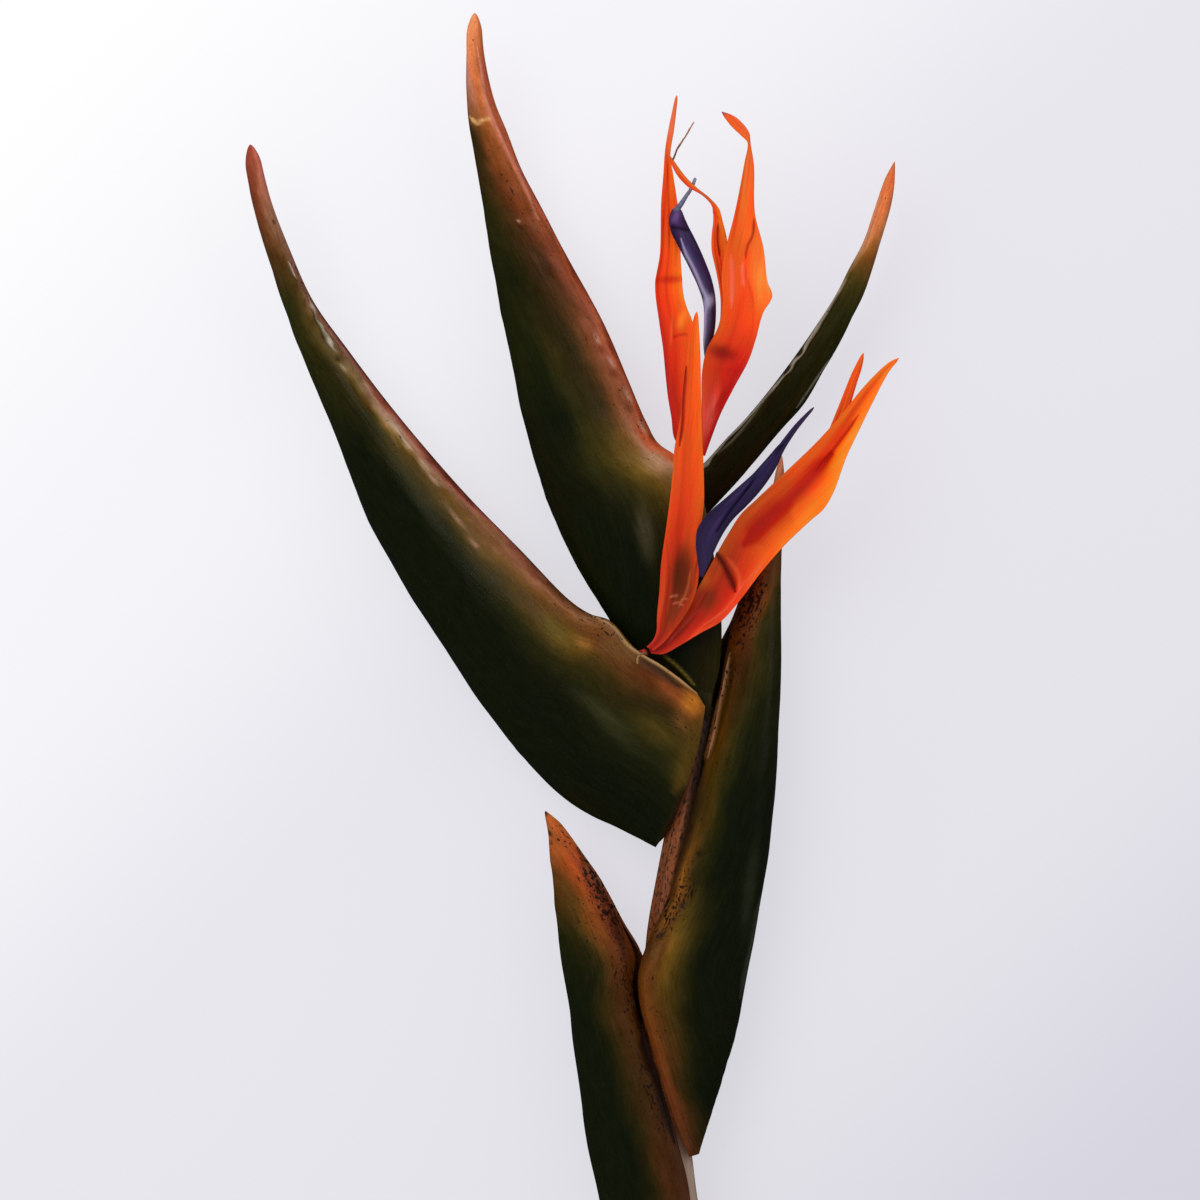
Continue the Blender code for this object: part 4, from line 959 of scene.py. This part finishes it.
def blend_zones(zones, along, across):
    """The colour at each place, read across every zone and blended from zone to zone evenly to the eye."""
    starts = np.array([zone[0] for zone in zones])
    rows = []
    for _, *stops in zones:
        knots, *bands = np.array(stops).T
        bands = np.sqrt(linear(bands))
        rows.append(np.stack([np.interp(across, knots, band) for band in bands], axis=-1))
    rows = np.stack(rows)
    low = np.clip(np.searchsorted(starts, along, side="right") - 1, 0, len(starts) - 2)
    share = np.clip((along - starts[low]) / (starts[low + 1] - starts[low]), 0.0, 1.0)[..., None]
    place = np.indices(along.shape)
    return (rows[(low, *place)] * (1 - share) + rows[(low + 1, *place)] * share) ** 2


def add_marks(colour, x, y, strength, table):
    """Lays the table's marks over `colour`, and returns the new colour with the height that they add."""
    height = np.zeros(x.shape)
    marks = [(near_oval(x, y, patch[:5]), patch[5:]) for patch in table["patches"]]
    marks += [(near_line(x, y, *line[:2]), line[2:]) for line in table["lines"]]
    for nearness, (ink, ink_strength, rise) in marks:
        weight = nearness * strength
        colour = colour + (linear(ink) - colour) * (weight * ink_strength)[..., None]
        height += weight * rise
    return colour, height


def normals_of(grid, column):
    """Unit normals of a grid of points, turned so that halfway along this column they point up."""
    normal = unit(np.cross(np.gradient(grid, axis=0), np.gradient(grid, axis=1)))
    return -normal if normal[len(grid) // 2, column, 2] < 0 else normal


def lip(outer, inner, outward):
    """Points on a half circle from `outer` round to `inner`, bulging along `outward`."""
    centre = 0.5 * (outer + inner)
    radius = 0.5 * np.linalg.norm(outer - inner, axis=1, keepdims=True)
    turns = np.linspace(0.0, math.pi, LIP_POINTS + 2)[1:-1]
    rows = []
    for turn in turns:
        rows.append(centre + (outer - centre) * math.cos(turn) + outward * radius * math.sin(turn))
    return np.stack(rows, axis=1)


def ring_faces(steps, ring, caps):
    """Quads between neighbouring rings of points, with the faces in `caps` closing both end rings."""
    step, place = np.meshgrid(np.arange(steps - 1), np.arange(ring), indexing="ij")
    here = step * ring + place
    beside = step * ring + (place + 1) % ring
    sides = np.stack([here, beside, beside + ring, here + ring], axis=-1).reshape(-1, 4).tolist()
    last = (steps - 1) * ring
    first_cap = [tuple(reversed(face)) for face in caps]
    last_cap = [tuple(last + corner for corner in face) for face in caps]
    return sides + first_cap + last_cap


def face_outwards(piece):
    """Turns every face round if the mesh encloses a negative volume."""
    mesh = piece.data
    mesh.calc_loop_triangles()
    corners = np.empty(len(mesh.loop_triangles) * 3, np.int32)
    mesh.loop_triangles.foreach_get("vertices", corners)
    points = np.empty(len(mesh.vertices) * 3)
    mesh.vertices.foreach_get("co", points)
    triangles = points.reshape(-1, 3)[corners.reshape(-1, 3)]
    if np.linalg.det(triangles).sum() < 0:
        mesh.flip_normals()


def make_piece(node, rings, caps, skin, strand, specks, material):
    """A mesh object from rings of points that stands for a CAD node, and what is painted at each point."""
    points = rings.reshape(-1, 3)
    mesh = bpy.data.meshes.new(node + "_fine")
    mesh.from_pydata((points * MM).tolist(), [], ring_faces(*rings.shape[:2], caps))
    mesh.shade_smooth()
    colours = np.concatenate([skin.reshape(-1, 3), np.ones((len(points), 1))], axis=1)
    for name, kind, field, values in (
        ("skin", "FLOAT_COLOR", "color", colours),
        ("strand", "FLOAT_VECTOR", "vector", strand),
        ("specks", "FLOAT", "value", specks),
    ):
        layer = mesh.attributes.new(name, kind, "POINT")
        layer.data.foreach_set(field, values.astype(np.float32).ravel())
    mesh.materials.append(material)
    piece = bpy.data.objects.new(node + "_fine", mesh)
    bpy.context.scene.collection.objects.link(piece)
    face_outwards(piece)
    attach(piece, "root")
    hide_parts(node)


def bract_outside(table, places, shrink):
    """A bract's outside, from its front lip round the keel to its back lip, and what painting needs."""
    keel = along_edge(table["keel"], places)
    rim = along_edge(table["rim"], places)
    wall = profile(table["wall"], places)
    bow = profile(table.get("bow", LEVEL), places)
    back = profile(table.get("back", LEVEL), places)
    middle = profile(table["middle"], places)
    half = profile(table["half"], places)
    gape = profile(table["gape"], places)
    width = np.linalg.norm(rim - keel, axis=1)
    outward = (rim - keel) / width[:, None]
    centre = 0.5 * (keel + rim)
    along = unit(np.gradient(centre, axis=0))
    keel = centre + (keel - centre) * shrink[:, None]
    rim = centre + (rim - centre) * shrink[:, None]
    share = 0.5 - 0.5 * np.cos(np.linspace(0.0, math.pi, BRACT_HALF + 1))
    columns = []
    for side, row in ((1, share[::-1]), (-1, share[1:])):
        for v in row:
            overhang = back * v**3 * (side < 0)
            flat = keel + (rim - keel) * v - along * (bow * 4 * v * (1 - v))[:, None]
            flat = flat + outward * overhang[:, None]
            full = BRACT_FULLNESS * np.sqrt(v) * (1 - v) ** 0.75
            swell = (half * full + (gape + wall) * v) * shrink
            clear, height = stem_clearance(flat, wall + STEM_GAP)
            need = np.maximum(clear + side * (height - middle), 0.0) * (clear > 0)
            rise = (swell**4 + need**4) ** 0.25 + 0.4 * overhang
            columns.append(np.column_stack([flat, middle + side * rise]))
    outer = np.stack(columns, axis=1)
    outer[:, :, 2] = np.maximum(outer[:, :, 2], 0.0)
    v = np.concatenate([share[::-1], share[1:]])
    from_rim = (1 - v)[None, :] * width[:, None]
    in_front = np.arange(len(v)) <= BRACT_HALF
    return outer, from_rim, in_front, wall * shrink


def crest_height(table, along, from_rim, length):
    height = np.zeros(along.shape)
    run = along * length
    for number, crest in enumerate(table["crests"]):
        start, end, inset, half_width, rise, wrinkle, wrinkle_length = crest
        seed = table["seed"] + number
        line = inset + 0.5 * waves(run, 0 * along, seed + 50, 40.0, 14.0)
        place = np.exp(-(((from_rim - line) / half_width) ** 2)) * window(along, start, end, 0.08)
        ripple = waves(run, 1.5 * from_rim, seed + 70, 1.4 * wrinkle_length, 0.6 * wrinkle_length)
        height += place * (rise + wrinkle * ripple)
    return height


def bract_paint(table, along, around, from_rim, length, x, y, front):
    """A bract's colour, and the height of the marks on it."""
    run = along * length / 3
    wobble = waves(run, around, table["seed"], 14.0, 4.0)
    wobble = wobble + 0.4 * waves(run, around, table["seed"] + 1, 3.0, 1.2)
    inset = np.maximum(from_rim + 0.55 * wobble * np.minimum(from_rim, 1.0), 0.0)
    colour, marks = add_marks(blend_zones(table["zones"], along, inset), x, y, front, table)
    return np.maximum(colour - GLOSS_HAZE, colour * LEAST_KEPT), marks


def bract_relief(table, along, around, from_rim, length, front):
    """The height of a bract's crests and of the unevenness of its skin."""
    relief = crest_height(table, along, from_rim, length) * (0.35 + 0.65 * front)
    for number, (height, stretch, longest, shortest, count, inset) in enumerate(BRACT_UNEVENNESS):
        seed = table["seed"] + 2 + number
        uneven = waves(along * length / stretch, around, seed, longest, shortest, count)
        relief += height * uneven * smooth(from_rim / inset)
    return relief


def bract_specks(table, along, around, length, x, y):
    """How thick the dark specks are."""
    thick = 0.12 + 0.08 * waves(along * length, around, table["seed"] + 4, 40.0, 10.0)
    for *oval, strength in table["specks"]:
        thick = np.maximum(thick, near_oval(x, y, oval) * strength)
    return thick


def section(outside, inside):
    """Values for a bract's whole section: its outside, its back lip, its inside and its front lip."""
    edge = np.repeat(outside[:, :1], LIP_POINTS, axis=1)
    return np.concatenate([outside, edge, inside[:, ::-1], edge], axis=1)


def bract_caps(count):
    """The faces that close a bract's end: a strip of quads through the wall and one face at each lip."""
    total = 2 * count + 2 * LIP_POINTS
    inner = [2 * count + LIP_POINTS - 1 - j for j in range(count)]
    caps = [(j, inner[j], inner[j + 1], j + 1) for j in range(count - 1)]
    caps.append((count - 1, *(inner[-1] - k for k in range(LIP_POINTS + 1))))
    caps.append((0, *(total - 1 - k for k in range(LIP_POINTS)), inner[0]))
    return caps


def make_bract(node, table, material):
    length = length_of(table["rim"])
    places, shrink = tip_places(BRACT_STEPS, BRACT_TIP / length)
    outer, from_rim, in_front, wall = bract_outside(table, places, shrink)
    along = np.repeat(places[:, None], outer.shape[1], axis=1)
    front = np.repeat(in_front[None, :].astype(float), len(places), axis=0)
    around = from_rim * np.where(front > 0.5, 1.0, -1.0)
    normal = normals_of(outer, BRACT_HALF // 2)

    x, y = outer[:, :, 0], outer[:, :, 1]
    colour, marks = bract_paint(table, along, around, from_rim, length, x, y, front)
    relief = bract_relief(table, along, around, from_rim, length, front) + marks
    ends = smooth(along * length / 6) * shrink[:, None]
    outer = outer + normal * (relief * ends)[:, :, None]
    outer[:, :, 2] = np.maximum(outer[:, :, 2], 0.0)
    inner = outer - normal * wall[:, None, None]
    inner[:, :, 2] = np.maximum(inner[:, :, 2], 0.6 * wall[:, None])
    specks = bract_specks(table, along, around, length, outer[:, :, 0], outer[:, :, 1])
    strand = np.stack([along * length, around, front * 40.0], axis=-1)

    front_lip = lip(outer[:, 0], inner[:, 0], unit(outer[:, 0] - outer[:, 1]))
    back_lip = lip(outer[:, -1], inner[:, -1], unit(outer[:, -1] - outer[:, -2]))
    rings = np.concatenate([outer, back_lip, inner[:, ::-1], front_lip[:, ::-1]], axis=1)
    skin = np.maximum(section(colour, colour * 0.5 + INSIDE_TINT), 0.0)
    caps = bract_caps(outer.shape[1])
    strand = section(strand, strand + 90.0)
    make_piece(node, rings, caps, skin, strand, section(specks, specks * 0), material)


def blade_middle(table, places, shrink, share):
    """The middle surface of a sepal or a tongue, from its left edge to its right one."""
    left = along_edge(table["left"], places)
    right = along_edge(table["right"], places)
    centre = 0.5 * (left + right)
    left = centre + (left - centre) * shrink[:, None]
    right = centre + (right - centre) * shrink[:, None]
    lift = profile(table["lift"], places)
    fold = profile(table["fold"], places) * shrink
    columns = []
    for v in share:
        height = lift + fold * abs(2 * v - 1) ** 1.4
        columns.append(np.column_stack([left + (right - left) * v, height]))
    return np.stack(columns, axis=1)


def make_blade(node, table, thickness, pleats, seed, material):
    """A thin blade. `thickness` is a function of the place along and across that gives millimetres."""
    length = length_of(table["left"])
    places, shrink = tip_places(BLADE_STEPS, BLADE_TIP / length)
    share = 0.5 - 0.5 * np.cos(np.linspace(0.0, math.pi, BLADE_ACROSS + 1))
    middle = blade_middle(table, places, shrink, share)
    along = np.repeat(places[:, None], len(share), axis=1)
    across = np.repeat(share[None, :], len(places), axis=0)
    normal = normals_of(middle, len(share) // 2)
    width = np.linalg.norm(middle[:, -1] - middle[:, 0], axis=1)[:, None]

    wobble = 0.05 * waves(along * length / 12, across * width, seed, 4.0, 1.2)
    colour = blend_zones(table["zones"], along, np.clip(across + wobble, 0.0, 1.0))
    marked, marks = add_marks(colour, middle[:, :, 0], middle[:, :, 1], np.ones(along.shape), table)
    marked = np.maximum(marked - SILK_HAZE * marked[:, :, :1], LEAST_SILK_KEPT * marked)
    pleat = waves(along * length / 14, across * 10.0, seed + 1, 6.0, 2.0) * smooth(width / 5)
    relief = (marks + pleats * pleat) * shrink[:, None] * smooth(along * length / 5)
    middle = middle + normal * relief[:, :, None]
    half = 0.5 * thickness(along, across) * shrink[:, None]
    upper = middle + normal * half[:, :, None]
    lower = middle - normal * half[:, :, None]

    rings = np.concatenate([upper, lower[:, ::-1]], axis=1)
    total = rings.shape[1]
    caps = [(j, total - 1 - j, total - 2 - j, j + 1) for j in range(BLADE_ACROSS)]
    skin = np.concatenate([marked, (colour * UNDERSIDE_TINT)[:, ::-1]], axis=1)
    strand = np.stack([along * length, across * width, 0 * along], axis=-1)
    strand = np.concatenate([strand, strand[:, ::-1] + 30.0], axis=1)
    make_piece(node, rings, caps, skin, strand, np.zeros(rings.shape[:2]), material)


def sepal_thickness(along, across):
    return SEPAL_THICKNESS * np.maximum(np.sqrt(1 - np.abs(2 * across - 1) ** 5), 0.3)


def tongue_thickness(along, across):
    middle = np.maximum(np.sqrt(1 - np.abs(2 * across - 1) ** 2.4), 0.22)
    return TONGUE_THICKNESS * middle * np.clip(1.4 - along, 0.5, 1.0)


def make_rod(node, table, steps, around, paint, rise, material, blunt):
    """A stalk or a whisker. `paint` gives the colour and specks at each point, and `rise` its unevenness."""
    places = np.linspace(0.0, 1.0, steps)
    turn = np.linspace(0.0, 2 * math.pi, around, endpoint=False)
    line = along_edge(table, places)
    length = length_of([point[:2] for point in table])
    tangent = unit(np.gradient(line[:, :3], axis=0))
    sideways = unit(np.cross(tangent, np.array((0.0, 0.0, 1.0))))
    upward = np.cross(sideways, tangent)
    spokes = sideways[:, None] * np.cos(turn)[None, :, None] + upward[:, None] * np.sin(turn)[None, :, None]
    along, turns = np.meshgrid(places, turn, indexing="ij")
    radius = line[:, 3][:, None] + rise(along * length, turns)
    rings = line[:, None, :3] + spokes * radius[:, :, None]
    first, last = [], []
    for size in END_SIZES:
        bulge = (1 - blunt) * math.sqrt(1 - size**2)
        for end, ends, way in ((0, first, -1), (-1, last, 1)):
            spread = spokes[end] * radius[end][:, None] * size
            ends.append(line[end, :3] + spread + way * tangent[end] * radius[end].mean() * bulge)
    rings = np.concatenate([np.stack(first), rings, np.stack(last[::-1])])
    rings[:, :, 2] = np.maximum(rings[:, :, 2], 0.0)

    full = np.pad(places, len(END_SIZES), "edge")
    along, turns = np.meshgrid(full, turn, indexing="ij")
    cut = np.zeros(along.shape)
    cut[:len(END_SIZES)] = np.array((1.0, 1.0, 1.0, 0.8))[:, None]
    skin, specks = paint(along, turns, rings[:, :, 0], rings[:, :, 1], cut)
    strand = np.stack([along * length, turns * line[:, 3].mean(), cut * 20.0], axis=-1)
    make_piece(node, rings, [tuple(range(around))[::-1]], skin, strand, specks, material)


def paint_stem(along, turns, x, y, cut):
    """Pinkish tan below the bracts, with faint lengthwise streaks, and orange-brown between them."""
    streak = waves(turns * 6.0, along * 4.0, 11, 6.0, 1.6)[..., None]
    pith = waves(turns * 9.0, cut * 9.0, 12, 5.0, 1.5)[..., None]
    colour = linear(STEM_BASE) * (1 + 0.15 * streak)
    edge = np.interp(y, [point[1] for point in STEM], [point[0] for point in STEM])
    for ink, share in (
        (linear(STEM_TAN) * (1 + 0.10 * streak), smooth((y + 190.0) / 110.0)),
        (linear(RACHIS) * (1 + 0.25 * streak), smooth((y + 52.0) / 16.0)),
        (linear(RACHIS_SHADE), smooth((x - edge + 0.5) / 2.0) * smooth((y + 20.0) / 20.0)),
        (linear(STEM_CUT) * (1 + 0.12 * pith), cut > 0.9),
        (linear(STEM_CUT_RIM), (cut > 0.7) & (cut < 0.9)),
    ):
        colour = colour + (ink - colour) * share[..., None]
    return colour, 0.15 + 0.8 * smooth((y + 10.0) / 30.0)


def stem_rise(along, turns):
    """Low ribs along the stem and a slightly uneven outline."""
    return 0.06 * np.sin(turns * 11.0 + 0.01 * along) + 0.07 * waves(along / 3, turns * 5, 13, 14.0, 5.0)


def paint_plain(base, tip, unevenness, seed):
    """A paint for rods: one colour at the base, another at the tip, and uneven between."""

    def paint(along, turns, x, y, cut):
        share = along[..., None]
        uneven = 1 + unevenness * waves(along * 24.0, turns * 2.0, seed, 6.0, 1.5)
        return (linear(base) * (1 - share) + linear(tip) * share) * uneven[..., None], 0.3 + 0 * along

    return paint


def thin_rise(depth, seed):
    return lambda along, turns: depth * waves(along, turns * 1.5, seed, 5.0, 1.2)


def add_node(tree, kind, inputs=None, **settings):
    """A node with its settings made and its inputs set, or linked where the value given is a socket."""
    node = tree.nodes.new(kind)
    for name, value in settings.items():
        setattr(node, name, value)
    for key, value in (inputs or {}).items():
        if isinstance(value, bpy.types.NodeSocket):
            tree.links.new(value, node.inputs[key])
        else:
            node.inputs[key].default_value = value
    return node


def attribute(tree, name, output):
    return add_node(tree, "ShaderNodeAttribute", attribute_name=name).outputs[output]


def stretched_noise(tree, strand, along, across, detail, roughness):
    """Noise whose features are about `along` by `across` millimetres in the strand's own directions."""
    stretch = (1 / along, 1 / across, 1.0)
    scaled = add_node(tree, "ShaderNodeVectorMath", {0: strand, 1: stretch}, operation="MULTIPLY")
    inputs = {"Vector": scaled.outputs[0], "Scale": 1.0, "Detail": detail, "Roughness": roughness}
    return add_node(tree, "ShaderNodeTexNoise", inputs).outputs["Fac"]


def remap(tree, value, low, high, to_low, to_high):
    inputs = {"Value": value, "From Min": low, "From Max": high, "To Min": to_low, "To Max": to_high}
    return add_node(tree, "ShaderNodeMapRange", inputs).outputs["Result"]


def vary(tree, noise, low, high):
    return remap(tree, noise, *NOISE_RANGE, low, high)


def math_node(tree, operation, first, second):
    return add_node(tree, "ShaderNodeMath", {0: first, 1: second}, operation=operation).outputs[0]


def product(tree, first, *others):
    for other in others:
        first = math_node(tree, "MULTIPLY", first, other)
    return first


def scale_colour(tree, colour, factor):
    inputs = {0: colour, "Scale": factor}
    return add_node(tree, "ShaderNodeVectorMath", inputs, operation="SCALE").outputs[0]


def mix_colour(tree, factor, first, second):
    return add_node(tree, "ShaderNodeMix", {0: factor, 6: first, 7: second}, data_type="RGBA").outputs[2]


def speck_mask(tree, strand, amount, along, across, rarest, commonest):
    """1 inside ragged specks, which are more and larger where `amount` is larger."""
    ragged = stretched_noise(tree, strand, along, across, 2.0, 0.6)
    limit = remap(tree, amount, 0.0, 1.0, rarest, commonest)
    return remap(tree, math_node(tree, "SUBTRACT", ragged, limit), 0.0, SPECK_EDGE, 0.0, 1.0)


def new_material(name):
    material = bpy.data.materials.new(name)
    material.use_nodes = True
    tree = material.node_tree
    return material, tree, tree.nodes["Principled BSDF"]


def finish_material(tree, shader, colour, roughness, height, bump_strength, bump_distance):
    """Links the colour, the roughness and a bump made from the height."""
    tree.links.new(colour, shader.inputs["Base Color"])
    tree.links.new(roughness, shader.inputs["Roughness"])
    inputs = {"Height": height, "Strength": bump_strength, "Distance": bump_distance}
    bump = add_node(tree, "ShaderNodeBump", inputs)
    tree.links.new(bump.outputs["Normal"], shader.inputs["Normal"])


def bract_material(name, gloss, streak_depth, speck_ink):
    """Waxy skin: the painted colour, long fibres, soft blotches, dark specks and pale flecks."""
    material, tree, shader = new_material(name)
    shader.inputs["Specular IOR Level"].default_value = 0.28
    strand = attribute(tree, "strand", "Vector")
    skin = attribute(tree, "skin", "Color")
    amount = attribute(tree, "specks", "Fac")
    fibre = stretched_noise(tree, strand, *BRACT_FIBRE)
    blotch = stretched_noise(tree, strand, *BRACT_BLOTCH)
    grain = stretched_noise(tree, strand, *BRACT_GRAIN)
    shade = vary(tree, fibre, 1 - streak_depth, 1 + streak_depth)
    shade = product(tree, shade, vary(tree, blotch, 0.80, 1.22), vary(tree, grain, 0.88, 1.12))
    colour = scale_colour(tree, skin, shade)
    ink = (*linear(speck_ink), 1.0)
    for size, opacity in ((BRACT_SPECKS, 0.96), (BRACT_STREAKS, 0.9)):
        mask = speck_mask(tree, strand, amount, *size)
        colour = mix_colour(tree, product(tree, mask, opacity), colour, ink)
    flecks = product(tree, speck_mask(tree, strand, amount, *BRACT_FLECKS), 0.35)
    colour = mix_colour(tree, flecks, colour, scale_colour(tree, skin, 2.4))
    roughness = vary(tree, blotch, gloss - 0.05, gloss + 0.09)
    height = math_node(tree, "ADD", product(tree, fibre, 0.7), product(tree, grain, 0.3))
    finish_material(tree, shader, colour, roughness, height, 0.55, 0.0003)
    return material


def blade_material(name, gloss, veins, depth, redden):
    """Silky blade: the painted colour with fine parallel veins and a soft unevenness."""
    material, tree, shader = new_material(name)
    shader.inputs["Specular IOR Level"].default_value = 0.2
    strand = attribute(tree, "strand", "Vector")
    skin = attribute(tree, "skin", "Color")
    vein = stretched_noise(tree, strand, *veins)
    cloud = stretched_noise(tree, strand, *BLADE_CLOUD)
    grain = stretched_noise(tree, strand, *BLADE_GRAIN)
    shade = vary(tree, vein, 1 - depth, 1 + depth)
    shade = product(tree, shade, vary(tree, cloud, 0.90, 1.10), vary(tree, grain, 0.95, 1.05))
    colour = scale_colour(tree, skin, shade)
    redder = add_node(tree, "ShaderNodeVectorMath", {0: colour, 1: redden}, operation="MULTIPLY").outputs[0]
    colour = mix_colour(tree, remap(tree, cloud, 0.38, 0.66, 0.0, 0.8), colour, redder)
    roughness = vary(tree, cloud, gloss - 0.05, gloss + 0.08)
    height = math_node(tree, "ADD", vein, product(tree, grain, 0.2))
    finish_material(tree, shader, colour, roughness, height, 0.4, 0.00018)
    return material


def tongue_material():
    material = blade_material("tongue_violet", 0.36, TONGUE_VEIN, 0.16, (1.25, 0.75, 1.1))
    shader = material.node_tree.nodes["Principled BSDF"]
    shader.inputs["Sheen Weight"].default_value = 0.08
    shader.inputs["Sheen Roughness"].default_value = 0.4
    shader.inputs["Sheen Tint"].default_value = (0.75, 0.78, 1.0, 1.0)
    return material


def rod_material(name, gloss, streak, depth):
    """A stalk's skin with streaks along it."""
    material, tree, shader = new_material(name)
    strand = attribute(tree, "strand", "Vector")
    skin = attribute(tree, "skin", "Color")
    amount = attribute(tree, "specks", "Fac")
    fibre = stretched_noise(tree, strand, 30.0, streak, 5.0, 0.6)
    blotch = stretched_noise(tree, strand, *ROD_BLOTCH)
    shade = product(tree, vary(tree, fibre, 1 - depth, 1 + depth), vary(tree, blotch, 0.88, 1.12))
    colour = scale_colour(tree, skin, shade)
    specks = product(tree, speck_mask(tree, strand, amount, *ROD_SPECKS), 0.8)
    colour = mix_colour(tree, specks, colour, (*linear(BLACK_BROWN), 1.0))
    roughness = vary(tree, blotch, gloss - 0.06, gloss + 0.08)
    finish_material(tree, shader, colour, roughness, fibre, 0.4, 0.00025)
    return material


def make_bracts():
    for name, table in BRACTS.items():
        make_bract("bract_" + name, table, bract_material(name + "_bract_skin", *table["skin"]))


def make_blades():
    silk = blade_material("sepal_silk", 0.40, BLADE_VEIN, 0.10, (1.0, 0.62, 0.6))
    violet = tongue_material()
    for number, (node, table) in enumerate(SEPALS.items()):
        seed = SEPAL_SEED + 10 * number
        make_blade(node, table, sepal_thickness, SEPAL_PLEATS, seed, silk)
    for number, (node, table) in enumerate(TONGUES.items()):
        seed = TONGUE_SEED + 10 * number
        make_blade(node, table, tongue_thickness, TONGUE_PLEATS, seed, violet)


def make_rods():
    skins = {name: rod_material(name, *look) for name, look in ROD_SKINS.items()}
    skin = skins["stem_skin"]
    make_rod("stem", STEM, STEM_STEPS, STEM_AROUND, paint_stem, stem_rise, skin, STEM_BLUNTNESS)
    for node, rod in RODS.items():
        paint = paint_plain(*rod["colours"], rod["uneven"], rod["seed"])
        rise = thin_rise(rod["rise"], rod["seed"] + 1)
        skin = skins[rod["skin"]]
        make_rod(node, rod["line"], ROD_STEPS, rod["around"], paint, rise, skin, rod["blunt"])


def make_floor():
    bpy.ops.mesh.primitive_plane_add(size=FLOOR_SIZE, location=(*VIEW_CENTRE, FLOOR_HEIGHT))
    floor = bpy.context.object
    floor.name = "floor"
    material, tree, shader = new_material("pale_floor")
    shader.inputs["Roughness"].default_value = 0.9
    shader.inputs["Specular IOR Level"].default_value = 0.1
    # painted light: the floor's colour fades from the upper left to the lower right
    place = add_node(tree, "ShaderNodeTexCoord").outputs["Object"]
    parts = add_node(tree, "ShaderNodeSeparateXYZ", {0: place})
    diagonal = math_node(tree, "SUBTRACT", parts.outputs["X"], parts.outputs["Y"])
    share = remap(tree, diagonal, -VIEW_WIDTH, VIEW_WIDTH, 0.0, 1.0)
    ramp = add_node(tree, "ShaderNodeValToRGB", {"Fac": share})
    ramp.color_ramp.interpolation = "EASE"
    while len(ramp.color_ramp.elements) < len(FLOOR_COLOURS):
        ramp.color_ramp.elements.new(0.5)
    for element, (position, colour) in zip(ramp.color_ramp.elements, FLOOR_COLOURS):
        element.position = position
        element.color = (*colour, 1.0)
    # painted light: the floor glows with most of its brightness, and only the rest is lit and shadowed
    matt = scale_colour(tree, ramp.outputs["Color"], 1 - FLOOR_GLOW)
    tree.links.new(matt, shader.inputs["Base Color"])
    tree.links.new(ramp.outputs["Color"], shader.inputs["Emission Color"])
    shader.inputs["Emission Strength"].default_value = FLOOR_GLOW
    floor.data.materials.append(material)
    floor.visible_glossy = False


def background(tree, colour, strength):
    inputs = {"Color": (*colour, 1.0), "Strength": strength}
    return add_node(tree, "ShaderNodeBackground", inputs).outputs[0]


def choose_shader(tree, factor, first, second):
    return add_node(tree, "ShaderNodeMixShader", {0: factor, 1: first, 2: second}).outputs[0]


def make_world():
    world = bpy.data.worlds.new("studio")
    bpy.context.scene.world = world
    world.use_nodes = True
    tree = world.node_tree
    tree.nodes.clear()
    path = add_node(tree, "ShaderNodeLightPath").outputs
    room = background(tree, *ROOM)
    mirrored = background(tree, *MIRRORED)
    backdrop = background(tree, *BACKDROP)
    unseen = choose_shader(tree, path["Is Glossy Ray"], room, mirrored)
    surface = choose_shader(tree, path["Is Camera Ray"], unseen, backdrop)
    add_node(tree, "ShaderNodeOutputWorld", {"Surface": surface})


def place_light(light, towards, place=(0.0, 0.0, 0.0), in_gloss=False):
    obj = bpy.data.objects.new(light.name, light)
    obj.location = place
    obj.rotation_euler = Vector(towards).to_track_quat("-Z", "Y").to_euler()
    obj.visible_glossy = in_gloss
    bpy.context.scene.collection.objects.link(obj)


def make_lights():
    sun = bpy.data.lights.new("sun", "SUN")
    sun.energy = SUN_STRENGTH
    sun.angle = math.radians(SUN_SPREAD)
    place_light(sun, [-part for part in SUN_TOWARDS])
    middle = Vector((*VIEW_CENTRE, 0.0))
    for name, place, size, radiance, in_gloss in SOFT_BOXES:
        box = bpy.data.lights.new(name, "AREA")
        box.size = size
        box.energy = radiance * math.pi * size * size
        place_light(box, middle - Vector(place), place, in_gloss)


def make_camera():
    camera = bpy.data.cameras.new("camera")
    camera.lens = LENS
    camera.sensor_width = SENSOR
    camera.clip_end = 20.0
    obj = bpy.data.objects.new("camera", camera)
    distance = VIEW_WIDTH * camera.lens / camera.sensor_width
    obj.location = (*VIEW_CENTRE, distance + HEAD_HEIGHT)
    bpy.context.scene.collection.objects.link(obj)
    bpy.context.scene.camera = obj


make_bracts()
make_blades()
make_rods()
make_floor()
make_world()
make_lights()
make_camera()
bpy.context.scene.view_settings.view_transform = "Standard"
